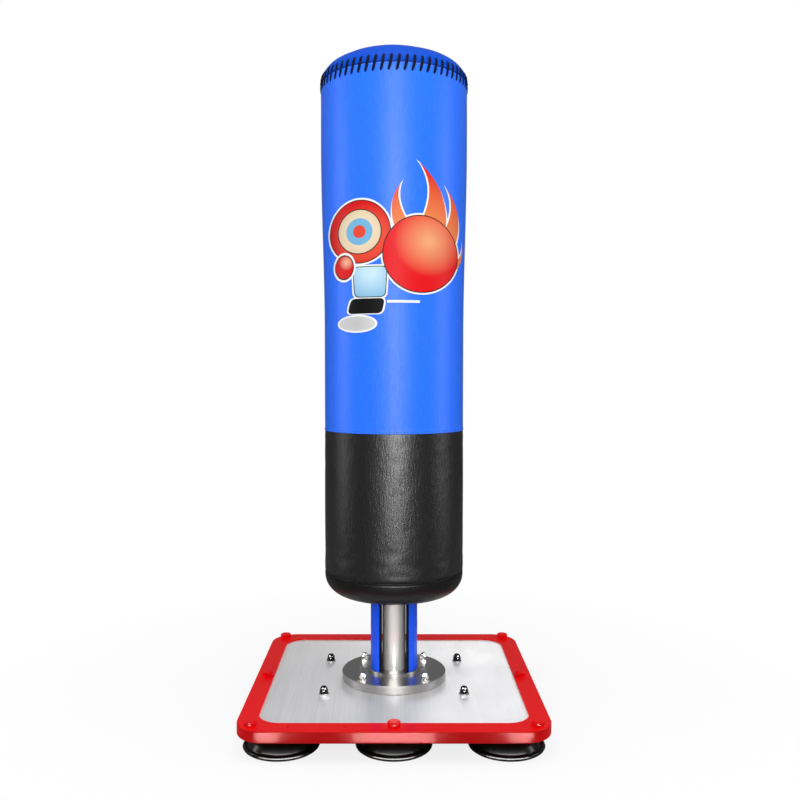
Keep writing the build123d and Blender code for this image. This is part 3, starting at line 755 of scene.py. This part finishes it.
# ---- points on the finished bag
def surface_tree(pieces):
    """A search tree over several pieces' surfaces."""
    vertices, faces = [], []
    for piece in pieces:
        start = len(vertices)
        vertices += [vertex.co.copy() for vertex in piece.data.vertices]
        faces += [[start + index for index in face.vertices] for face in piece.data.polygons]
    return BVHTree.FromPolygons(vertices, faces)


def on_bag(tree, radius, angle, height, slope=0.0):
    """The bag's surface point and outward direction near (radius, angle, height)."""
    outward = Vector((math.cos(angle) * math.cos(slope), math.sin(angle) * math.cos(slope), math.sin(slope)))
    nominal = Vector((radius * math.cos(angle), radius * math.sin(angle), height))
    hit = tree.ray_cast(nominal + outward * 0.02, -outward)[0]
    return hit or nominal, outward


def seam_place(reach):
    """(radius, height, slope) at a distance up (+) or down (-) from the top seam."""
    if reach <= 0:
        return float(bag_radius(seam_top + reach)), seam_top + reach, 0.0
    share, travelled, slope, last = 0.0, 0.0, 0.0, dome_point(0.0)
    while travelled < reach:
        share += 0.004
        here = dome_point(share)
        travelled += math.dist(here, last)
        slope = math.atan2(last[0] - here[0], here[1] - last[1])
        last = here
    return (*last, slope)


def build_lacing(tree):
    """Slanted lace stitches over the top seam, flat in section and sunk at both ends."""
    shares = np.linspace(-1, 1, 13)
    places = [seam_place(share * STITCH_REACH) for share in shares]
    parts = []
    for stitch in range(STITCHES):
        middle = TAU * stitch / STITCHES
        slack = noise.noise(Vector((stitch * 1.7, 2.3, 0.5)))
        path, normals = [], []
        for share, (radius, height, slope) in zip(shares, places):
            aside = STITCH_LEAN * share * STITCH_REACH * (1 + 0.25 * slack) + 1.2 * MM * (1 - share**2)
            point, outward = on_bag(tree, radius, middle + aside / radius, height, slope)
            path.append(point + outward * (1.1 - 2.6 * abs(share) ** 6 + 0.2 * slack) * MM)
            normals.append(outward)
        widths = STITCH_WIDTH / 2 * (1 - 0.5 * np.abs(shares) ** 4) * (1 + 0.1 * slack)
        parts.append(swept(path, normals, widths, 1.0 * MM, 10))
    piece = piece_from_parts("top_lacing_stitches", parts)
    place_piece(piece, "bag", lace, ["top_lacing"])


def thread_stitch(tree, angle, height, turn, rise):
    """One short stitch about a place on the bag, as long as its turn and rise, sunk at both ends."""
    path, normals = [], []
    for share in np.linspace(-0.5, 0.5, 5):
        level = height + rise * share
        point, outward = on_bag(tree, float(bag_radius(level)), angle + turn * share, level)
        path.append(point + outward * (0.15 * MM - 1.6 * MM * abs(share) ** 3))
        normals.append(outward)
    return swept(path, normals, 0.45 * MM, 0.35 * MM, 6)


def thread_ring(tree, height):
    """Short stitches around the bag at a height."""
    pitch = TAU / RING_STITCHES
    return [
        thread_stitch(tree, TAU * stitch / RING_STITCHES, height, pitch * STITCH_SHARE, 0.0)
        for stitch in range(RING_STITCHES)
    ]


def thread_line(tree, angle, low, high):
    """Short stitches up the bag at an angle."""
    return [
        thread_stitch(tree, angle, height, 0.0, LINE_PITCH * STITCH_SHARE)
        for height in np.arange(low, high, LINE_PITCH)
    ]


def build_flap(tree, name, low, high, slot, material):
    """The overlapped closing seam up the back of a cover: a raised flap with a rolled edge."""
    offsets = np.array([-12, -11.4, -10, -6, 0, 6, 9.5, 11.3, 12.2, 12.4, 12]) * MM
    lifts = np.array([-0.4, 0.2, 0.6, 0.9, 1.0, 1.1, 1.3, 1.6, 1.2, 0.5, -0.4]) * MM
    levels = np.arange(low, high, 6 * MM)
    vertices = []
    for level in levels:
        radius = float(bag_radius(level))
        for offset, lift in zip(offsets, lifts):
            sway = 0.5 * MM * noise.noise(Vector((level * 20, 0, 7)))
            point, outward = on_bag(tree, radius, BACK + (offset + sway) / radius, level)
            vertices.append(point + outward * lift)
    faces = ring_faces(len(levels), len(offsets), False)
    piece = new_piece(name, vertices, faces)
    tidy_mesh(piece)
    return place_piece(piece, "bag", material)


def build_flaps(tree):
    """The closing flaps of both covers."""
    upper = (waist + 2 * MM, seam_top - 17 * MM)
    lower = (seam_bottom + 4 * MM, waist - 1 * MM)
    return [
        build_flap(tree, "upper_flap", *upper, "blue_vinyl", blue_vinyl),
        build_flap(tree, "lower_flap", *lower, "black_vinyl", black_vinyl),
    ]


def build_stitching(tree):
    """Thread along the waist, beside the bottom seam and on both sides of the closing flap."""
    blue = thread_ring(tree, waist + 5 * MM)
    black = thread_ring(tree, seam_bottom + 6 * MM)
    for offset in (-9 * MM, 8 * MM):
        blue += thread_line(tree, BACK + offset / low_radius, waist + 12 * MM, seam_top - 30 * MM)
        black += thread_line(tree, BACK + offset / low_radius, seam_bottom + 14 * MM, waist - 8 * MM)
    place_piece(piece_from_parts("blue_stitching", blue), "bag", blue_thread)
    place_piece(piece_from_parts("black_stitching", black), "bag", black_thread)


# ---- the print on the front
SUN, SUN_RADIUS = (0.054, 0.960), 0.077
TARGET, TARGET_RADIUS = (-0.069, 1.005), 0.063
BALL, BALL_RADIUS, BALL_SQUEEZE = (-0.100, 0.936), 0.020, 1.25
OVAL = (-0.074, 0.822)
OUTLINE = 3.6 * MM
LINE = 1.9 * MM


def disc(center, radius, squeeze=1.0, count=96):
    """Points of a round or oval outline in the front view."""
    turns = np.arange(count) * TAU / count
    return [(center[0] + radius * math.cos(t), center[1] + radius * squeeze * math.sin(t)) for t in turns]


def grown(outline, amount):
    """A convex outline made larger on all sides."""
    center = Vector((0, 0))
    for point in outline:
        center += Vector(point) / len(outline)
    return [Vector(p) + (Vector(p) - center).normalized() * amount for p in outline]


def filled(outline, step=4 * MM):
    """Rows of points that fill an outline: finely divided, smaller and smaller about its middle."""
    points = []
    for index, here in enumerate(outline):
        here, after = Vector(here), Vector(outline[(index + 1) % len(outline)])
        count = math.ceil((after - here).length / step)
        points += [here.lerp(after, part / count) for part in range(count)]
    center = sum(points, Vector((0, 0))) / len(points)
    rings = math.ceil(max((point - center).length for point in points) / step)
    return [[center.lerp(point, ring / rings) for point in points] for ring in range(rings, -1, -1)]


def ray_rows(base, bend, tip, width, grow=0.0, count=36, across_count=12):
    """Rows of points over a curved ray between two arcs that meet at its tip."""
    base, bend, tip = Vector(base), Vector(bend), Vector(tip)
    along = (bend - base).normalized()
    across = Vector((-along.y, along.x)) * (width / 2 + grow)
    tip = tip + (tip - bend).normalized() * grow * 2.5
    rows = []
    for share in np.linspace(0, 1, count).tolist():
        rest = 1 - share
        middle = rest**2 * base + 2 * rest * share * bend + share**2 * tip
        half = across * (rest**2 + 1.1 * rest * share)
        rows.append([middle + half * side for side in np.linspace(1, -1, across_count).tolist()])
    return rows


def printed_area(tree, name, areas, lift, material, closed=True):
    """A thin printed area: rows of points in the front view, laid on the bag."""
    parts = []
    for rows in areas:
        vertices = []
        for x, z in (point for row in rows for point in row):
            hit = tree.ray_cast(Vector((x, -0.4, z)), Vector((0, 1, 0)))[0]
            vertices.append(hit + Vector((hit.x, hit.y, 0)).normalized() * lift)
        parts.append((vertices, ring_faces(len(rows), len(rows[0]), closed)))
    piece = piece_from_parts(name, parts)
    tidy_mesh(piece)
    place_piece(piece, "bag", material)


def build_print(tree):
    """A plain sun disc with curved rays, and a target and a ball over three stacked shapes."""
    x, z = SUN
    rays = [
        ((x + 0.026, z + 0.062), (x + 0.046, z + 0.132), (x - 0.004, z + 0.180), 0.050),
        ((x + 0.058, z + 0.036), (x + 0.083, z + 0.095), (x + 0.052, z + 0.134), 0.032),
        ((x - 0.040, z + 0.058), (x - 0.062, z + 0.108), (x - 0.040, z + 0.138), 0.028),
        ((x + 0.056, z - 0.022), (x + 0.092, z - 0.016), (x + 0.087, z + 0.036), 0.024),
    ]
    left, height = TARGET
    block = rounded_loop([(-0.083, 0.936), (-0.013, 0.936), (-0.016, 0.874), (-0.080, 0.874)], 12 * MM)
    band = rounded_loop([(-0.086, 0.872), (-0.018, 0.872), (-0.024, 0.842), (-0.094, 0.842)], 10 * MM)
    oval = disc(OVAL, 0.037, 0.40)
    stripe = rounded_loop([(-0.014, 0.868), (0.052, 0.868), (0.052, 0.863), (-0.014, 0.863)], 2 * MM)
    white = ink("white_ink", grey(0.80), grey(0.84))
    pale = ink("pale_ink", grey(0.48), grey(0.62), OVAL, 0.0, 0.04)
    black = ink("black_ink", grey(0.001), grey(0.002))
    glow = (x + 0.016, z + 0.026)
    sun = ink("sun_ink", (0.78, 0.34, 0.16), (0.70, 0.002, 0.006), glow, 0.006, 0.070)
    flame = ink("flame_ink", (0.76, 0.22, 0.07), (0.66, 0.004, 0.004), SUN, 0.070, 0.165)
    red = ink("red_ink", (0.72, 0.06, 0.03), (0.60, 0.002, 0.005), (left + 0.01, height - 0.01), 0.04, 0.066)
    ball = ink("ball_ink", (0.85, 0.45, 0.30), (0.66, 0.003, 0.006), (-0.096, 0.946), 0.001, 0.016)
    cream = ink("cream_ink", (0.78, 0.70, 0.52), (0.70, 0.52, 0.34), TARGET, 0.01, 0.05)
    sky = ink("sky_ink", (0.52, 0.72, 0.84), (0.16, 0.42, 0.66), (-0.048, 0.925), 0.01, 0.06)
    round_areas = [
        ("white_discs", [disc(SUN, SUN_RADIUS + OUTLINE), stripe], 0.26, white),
        ("white_target", [disc(TARGET, TARGET_RADIUS + OUTLINE)], 0.32, white),
        ("white_block", [grown(block, OUTLINE)], 0.38, white),
        ("white_band", [grown(band, OUTLINE)], 0.42, white),
        ("white_oval", [disc(OVAL, 0.041, 0.44)], 0.46, white),
        ("oval", [oval], 0.54, pale),
        ("target_line", [disc(TARGET, TARGET_RADIUS)], 0.56, black),
        ("target_ring", [disc(TARGET, TARGET_RADIUS - LINE)], 0.62, red),
        ("target_edge", [disc(TARGET, TARGET_RADIUS * 0.68 + LINE)], 0.68, black),
        ("target_cream", [disc(TARGET, TARGET_RADIUS * 0.68)], 0.74, cream),
        ("target_sky", [disc(TARGET, TARGET_RADIUS * 0.42)], 0.80, sky),
        ("target_core", [disc(TARGET, TARGET_RADIUS * 0.20)], 0.86, red),
        ("block_line", [grown(block, 0.0)], 0.56, black),
        ("block", [grown(block, -LINE)], 0.62, sky),
        ("band", [band], 0.68, black),
        ("white_ball", [disc(BALL, BALL_RADIUS + OUTLINE, BALL_SQUEEZE)], 0.92, white),
        ("ball_line", [disc(BALL, BALL_RADIUS, BALL_SQUEEZE)], 0.98, black),
        ("ball", [disc(BALL, BALL_RADIUS - LINE, BALL_SQUEEZE)], 1.04, ball),
        ("sun_line", [disc(SUN, SUN_RADIUS)], 0.92, black),
        ("sun", [disc(SUN, SUN_RADIUS - LINE)], 0.98, sun),
    ]
    for name, outlines, lift, material in round_areas:
        areas = [filled(outline) for outline in outlines]
        printed_area(tree, "print_" + name, areas, lift * MM, material)
    for index, ray in enumerate(rays):
        rise = (0.02 * index + 0.10) * MM
        printed_area(tree, f"print_white_ray_{index}", [ray_rows(*ray, OUTLINE)], rise, white, False)
        printed_area(tree, f"print_ray_{index}", [ray_rows(*ray)], 0.45 * MM + rise, flame, False)


# ---- padding round the post
PAD_RADIUS, PAD_SKIN = 51 * MM, 3.2 * MM
SKIN_GAP, FOAM_GAP = 32 * MM, 26.5 * MM


def rounded_loop(points, radius, steps=5):
    """A closed loop of (x, y) points with its corners rounded off."""
    loop = []
    count = len(points)
    for index in range(count):
        before, here, after = (Vector(points[(index + step) % count]) for step in (-1, 0, 1))
        back, ahead = before - here, after - here
        cut = min(radius, back.length * 0.45, ahead.length * 0.45)
        first, second = here + back.normalized() * cut, here + ahead.normalized() * cut
        for share in np.linspace(0, 1, steps).tolist():
            loop.append((1 - share) ** 2 * first + 2 * share * (1 - share) * here + share**2 * second)
    return loop


def arc_loop(radius, half_angle, count):
    """Points on an arc about the origin that opens towards +x."""
    return [
        (radius * math.cos(turn), radius * math.sin(turn))
        for turn in np.linspace(-half_angle, half_angle, count)
    ]


def standing_loop(name, loops, side):
    """A solid stacked from equal loops of (x, y, z) points, closed below and above."""
    around = len(loops[0])
    vertices = [(side * x, y, z) for loop in loops for x, y, z in loop]
    faces = ring_faces(len(loops), around)
    last = (len(loops) - 1) * around
    faces += [tuple(range(around)), tuple(last + step for step in range(around))]
    piece = new_piece(name, vertices, faces)
    tidy_mesh(piece)
    return piece


def build_post_pad(side, suffix):
    """One half of the padding round the post: vinyl skin over black foam, rounded at its edges."""
    low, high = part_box("pad_cover_" + suffix)
    foam_low, foam_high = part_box("pad_foam_" + suffix)
    skin_loops, foam_loops = [], []
    for level in np.linspace(0, 1, 40):
        ends = min(level, 1 - level) * (high.z - low.z)
        pinch = 1.0 * MM * math.exp(-ends / (3 * MM))
        height = low.z + level * (high.z - low.z)
        crease = 0.35 * MM * noise.noise(Vector((height * 60, side * 3, 1)))
        radius = PAD_RADIUS - pinch - 0.3 * MM + crease
        half = math.acos(SKIN_GAP / radius)
        loop = arc_loop(radius, half, 36) + arc_loop(radius - PAD_SKIN, half * 0.97, 24)[::-1]
        skin_loops.append([(p[0], p[1], height) for p in rounded_loop(loop, 2.2 * MM, 3)])
        foam_height = foam_low.z + level * (foam_high.z - foam_low.z)
        foam_radius = PAD_RADIUS - PAD_SKIN - 0.4 * MM - pinch
        foam_half = math.acos(FOAM_GAP / foam_radius)
        corners = arc_loop(foam_radius, foam_half, 30) + arc_loop(FOAM_GAP + 0.1 * MM, 0.08, 6)[::-1]
        foam_loops.append([(p[0], p[1], foam_height) for p in rounded_loop(corners, 1.0 * MM, 3)])
    skin = standing_loop("post_pad_skin_" + suffix, skin_loops, side)
    place_piece(skin, "stand", pad_vinyl, ["pad_cover_" + suffix])
    core = standing_loop("post_pad_foam_" + suffix, foam_loops, side)
    place_piece(core, "stand", black_foam, ["pad_foam_" + suffix])


# ---- suction cups
CUP_RADIUS, CUP_NECK = 75 * MM, 26 * MM


def arc_points(start, end, sagitta, count):
    """Points on the arc between two points that bulges by sagitta to the left of their line."""
    start, end = np.array(start), np.array(end)
    half = np.linalg.norm(end - start) / 2
    radius = (half**2 + sagitta**2) / (2 * abs(sagitta))
    along = (end - start) / (2 * half)
    left = np.array([-along[1], along[0]]) * math.copysign(1, sagitta)
    center = (start + end) / 2 + left * (abs(sagitta) - radius)
    reach = math.asin(min(1, half / radius))
    return [
        tuple(center + radius * (left * math.cos(turn) + along * math.sin(turn)))
        for turn in np.linspace(-reach, reach, count)
    ]


def build_suction_cups():
    """Nine rubber cups: a dome, a raised bead along a flared lip, and a hollow underneath."""
    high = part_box("suction_cups")[1]
    neck, lip = CUP_NECK, CUP_RADIUS
    top, pitch = high.z, high.x - lip
    bead = [
        (lip - 4.6 * MM + 3.4 * MM * math.cos(turn), 6.6 * MM + 2.8 * MM * math.sin(turn))
        for turn in np.linspace(math.pi * 0.9, -0.1, 12)
    ]
    profile = [
        (12 * MM, top),
        (neck - 1 * MM, top),
        (neck, top - 1 * MM),
        *arc_points((neck, top - 9 * MM), (lip - 9.5 * MM, 7.4 * MM), 8.5 * MM, 16),
        *bead,
        (lip - 0.3 * MM, 5.0 * MM),
        (lip - 1.6 * MM, 2.4 * MM),
        (lip - 4.2 * MM, 0.5 * MM),
        (lip - 6.5 * MM, 0.0),
        (lip - 13.5 * MM, 0.0),
        *arc_points((lip - 14.5 * MM, 0.6 * MM), (20 * MM, 20.5 * MM), -8.5 * MM, 14),
        (0.0, 21 * MM),
    ]
    grid = [(x * pitch, y * pitch) for x in (-1, 0, 1) for y in (-1, 0, 1)]
    piece = join([lathe("cup", profile, 72, place) for place in grid], "suction_cup_rubbers")
    return place_piece(piece, "stand", cup_rubber, ["suction_cups"])


# ---- domed nuts
PLATE_NUT_ACROSS, PLATE_NUT_HEX = 17 * MM, 7.5 * MM
FLANGE_NUT_ACROSS, FLANGE_NUT_HEX = 13 * MM, 6.5 * MM
WASHER_SHARE = 0.62
HEX_TURN = math.pi / 6


def build_cap_nuts(node, across, hex_height, places, material, slot):
    """Domed nuts: a hexagon with rounded-off corners, a narrow groove and a polished dome."""
    low, top = (corner.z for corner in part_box(node))
    corner, dome = across / 2 / math.cos(HEX_TURN), across / 2 - 0.5 * MM
    shoulder = low + hex_height
    dome_foot = shoulder + 0.3 * MM
    sections = [
        (low, corner - 1.2 * MM),
        (low + 0.7 * MM, corner),
        (shoulder - 1.5 * MM, corner),
        (shoulder - 0.2 * MM, across / 2 - 0.1 * MM),
        (shoulder, dome - 0.4 * MM),
        *[
            (dome_foot + (top - dome_foot) * math.sin(turn), dome * math.cos(turn))
            for turn in np.linspace(0.0, math.pi / 2, 14)
        ],
    ]
    angles = np.arange(72) * TAU / 72
    flats = across / 2 / np.cos((angles + HEX_TURN) % (2 * HEX_TURN) - HEX_TURN)
    nuts = []
    for x, y, turned_by in places:
        vertices = []
        for height, limit in sections:
            radii = np.minimum(flats, limit)
            vertices += [
                (x + r * math.cos(a + turned_by), y + r * math.sin(a + turned_by), height)
                for r, a in zip(radii, angles)
            ]
        nut = new_piece("nut", vertices, ring_faces(len(sections), len(angles)))
        tidy_mesh(nut)
        nuts.append(nut)
    piece = join(nuts, node + "_polished")
    piece.data.set_sharp_from_angle(angle=math.radians(28))
    return place_piece(piece, "stand", material, [node])


def build_nuts():
    """Both sets of domed nuts: four black ones on the plate and four bright ones on the flange."""
    nuts_corner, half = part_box("plate_cap_nuts")[1], PLATE_NUT_ACROSS / 2
    x, y = nuts_corner.x - half / math.cos(HEX_TURN), nuts_corner.y - half
    plate = [(sx * x, sy * y, 0.0) for sx in (-1, 1) for sy in (-1, 1)]
    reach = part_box("flange_washers")[1].x - FLANGE_NUT_ACROSS * WASHER_SHARE
    turns = [math.pi / 4 + quarter * math.pi / 2 for quarter in range(4)]
    flange = [(math.copysign(reach, math.cos(t)), math.copysign(reach, math.sin(t)), t) for t in turns]
    plate_size, flange_size = (PLATE_NUT_ACROSS, PLATE_NUT_HEX), (FLANGE_NUT_ACROSS, FLANGE_NUT_HEX)
    return [
        build_cap_nuts("plate_cap_nuts", *plate_size, plate, black_steel, "black_steel"),
        build_cap_nuts("flange_cap_nuts", *flange_size, flange, bright_steel, "chrome_steel"),
    ]


# ---- coil spring
WIRE_RADIUS, COIL_RADIUS, COIL_TURNS = 8 * MM, 40 * MM, 4.25


def build_spring():
    """The coil in two halves, baked in place and attached to no body."""
    low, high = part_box("main_spring")
    bottom, top = low.z + WIRE_RADIUS, high.z - WIRE_RADIUS
    halves = {
        "main_spring_lower": (0.0, 0.5, "stand", "spring"),
        "main_spring_upper": (0.5, 1.0, "spring", "spindle"),
    }
    for name, (first, last, below, above) in halves.items():
        shares = np.linspace(first, last, 90)
        angles = shares * COIL_TURNS * TAU
        outward = np.column_stack([np.cos(angles), np.sin(angles), np.zeros(len(shares))])
        path = outward * COIL_RADIUS + np.outer(bottom + shares * (top - bottom), (0, 0, 1))
        piece = piece_from_parts(name, [swept(path, outward, WIRE_RADIUS, WIRE_RADIUS, 20)])
        replaced = ["main_spring"] if first == 0 else []
        place_piece(piece, None, spring_steel, replaced)
        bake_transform(piece)


# ---- stage, light and camera
def build_stage():
    """A pale floor that fades to white away from the object."""
    reach = 12.0
    corners = [(-reach, -reach, 0), (reach, -reach, 0), (reach, reach, 0), (-reach, reach, 0)]
    floor = new_piece("floor", corners, [(0, 1, 2, 3)])
    material, tree, shader, place = start_material("floor_paint", Roughness=0.95, Specular_IOR_Level=0.05)
    shader.inputs["Base Color"].default_value = (0.9, 0.9, 0.9, 1)
    far = add_node(tree, "VectorMath", {0: place}, operation="LENGTH").outputs["Value"]
    fade = span(tree, far, 0.80, 1.0, 0.35, 1.1)
    seen = add_node(tree, "LightPath").outputs["Is Camera Ray"]
    amount = add_node(tree, "Math", {0: fade, 1: seen}, operation="MULTIPLY").outputs[0]
    white = add_node(tree, "Emission", {"Color": (1, 1, 1, 1), "Strength": 1.0}).outputs[0]
    dim = add_node(tree, "BsdfDiffuse", {"Color": (0.18, 0.18, 0.18, 1)}).outputs[0]
    other = add_node(tree, "MixShader", {0: seen, 1: dim, 2: shader.outputs[0]}).outputs[0]
    mixed = add_node(tree, "MixShader", {0: amount, 1: other, 2: white}).outputs[0]
    tree.links.new(mixed, tree.nodes["Material Output"].inputs["Surface"])
    floor.data.materials.append(material)


def add_softbox(name, place, target, size, radiance, only=(), without=(), diffuse=True):
    """A rectangular area light facing a target, unseen by the camera, for all objects or some."""
    light = bpy.data.lights.new(name, "AREA")
    light.shape = "RECTANGLE"
    light.size, light.size_y = size
    light.energy = math.pi * size[0] * size[1] * radiance
    lamp = bpy.data.objects.new(name, light)
    lamp.location = place
    lamp.rotation_euler = (Vector(target) - Vector(place)).to_track_quat("-Z", "Y").to_euler()
    lamp.visible_camera = False
    lamp.visible_diffuse = diffuse
    bpy.context.scene.collection.objects.link(lamp)
    if only or without:
        lit = bpy.data.collections.new(name + "_lit")
        for piece in (*only, *without):
            lit.objects.link(piece)
        lamp.light_linking.receiver_collection = lit
        for member in lit.collection_objects:
            member.light_linking.link_state = "EXCLUDE" if without else "INCLUDE"


def build_world():
    """White for the camera, an even grey for soft light, and a darker sky for reflections."""
    world = bpy.data.worlds.new("studio")
    bpy.context.scene.world = world
    world.use_nodes = True
    tree = world.node_tree
    tree.nodes.clear()
    place = add_node(tree, "TexCoord").outputs["Generated"]
    height = add_node(tree, "SeparateXYZ", {"Vector": place}).outputs["Z"]
    sky = ramp(tree, height, [(0.0, grey(0.10)), (0.4, grey(0.20)), (1.0, grey(0.40))])
    ray = add_node(tree, "LightPath")
    tone = mix_colors(tree, ray.outputs["Is Glossy Ray"], grey(0.46), sky)
    tone = mix_colors(tree, ray.outputs["Is Camera Ray"], tone, grey(1.0))
    background = add_node(tree, "Background", {"Color": tone, "Strength": 1.0}).outputs[0]
    tree.links.new(background, add_node(tree, "OutputWorld").inputs["Surface"])


def build_lights():
    """A softbox and a strip in front, slim boxes at the sides, one above, and small base lights."""
    middle, foot = (0, 0, crown / 2), (0, 0, 0.05)
    post, plate, rim = (frame["nodes"][node] for node in ("post_tube", "top_plate", "rim_guard"))
    sheen = [lower_cover, bottom_cap]
    add_softbox("front_box", (0, -3.2, 1.1), middle, (3.4, 2.4), 0.9, without=[rim, post, cups])
    add_softbox("front_strip", (0.12, -3.1, 1.1), middle, (0.75, 2.6), 9.5, without=[rim, post, cups])
    add_softbox("sheen_strip", (0.16, -3.1, 1.1), middle, (0.9, 2.6), 15.0, only=sheen, diffuse=False)
    add_softbox("left_box", (-2.6, -0.1, 1.0), middle, (0.5, 2.2), 4.5, without=[bottom_cap])
    add_softbox("right_box", (2.6, -0.3, 1.0), middle, (0.5, 2.2), 4.5, without=[post, bottom_cap])
    add_softbox("top_box", (0, -1.0, 3.2), (0, 0, 0.4), (2.0, 2.0), 2.6)
    add_softbox("plate_box", (1.0, 3.2, 1.2), foot, (2.7, 1.3), 2.5, only=[plate])
    add_softbox("post_box", (-0.1, -2.0, 0.4), (0, 0, 0.3), (3.4, 1.6), 5.2, only=[post])
    add_softbox("lip_box", (0, -1.6, 0.30), foot, (4.6, 0.26), 70.0, only=[cups], diffuse=False)
    for side, height in ((-1.9, 2.1), (1.7, 1.5)):
        add_softbox("spark_box", (side, -1.7, height), foot, (1.1, 1.1), 200.0, only=nuts, diffuse=False)
    for place, width in ((-0.29, 0.12), (0.0, 0.16), (0.29, 0.12)):
        glow, above = (place, -0.46, 0.004), (place, -0.40, 1.0)
        add_softbox("rim_glow", glow, above, (width, 0.2), 30.0, only=[rim], diffuse=False)


EYE_PLACE, EYE_TILT = (0, -1.888, 0.7255), math.radians(1.854)
LENS, SENSOR, SHIFT = 39.25, 36, 0.0075


def build_camera():
    """A camera at the height of the bag's middle, nearly level, two metres away."""
    camera = bpy.data.cameras.new("camera")
    camera.sensor_width = SENSOR
    camera.lens = LENS
    camera.shift_x = SHIFT
    eye = bpy.data.objects.new("camera", camera)
    eye.location = EYE_PLACE
    eye.rotation_euler = (math.pi / 2 - EYE_TILT, 0, 0)
    bpy.context.scene.collection.objects.link(eye)
    bpy.context.scene.camera = eye


dress_cad_nodes()
upper_cover = build_upper_cover()
lower_cover = build_lower_cover()
top_crown = build_top_crown()
bottom_cap = build_bottom_cap()
build_bottom_seam_cord()
build_mouth_liner()
build_padding()
bag_tree = surface_tree([upper_cover, lower_cover, top_crown])
build_lacing(bag_tree)
build_print(bag_tree)
flaps = build_flaps(bag_tree)
build_stitching(surface_tree([upper_cover, lower_cover, *flaps]))
build_post_pad(-1, "left")
build_post_pad(1, "right")
cups = build_suction_cups()
nuts = build_nuts()
build_spring()
build_stage()
build_world()
build_lights()
build_camera()
bpy.context.scene.view_settings.view_transform = "Standard"
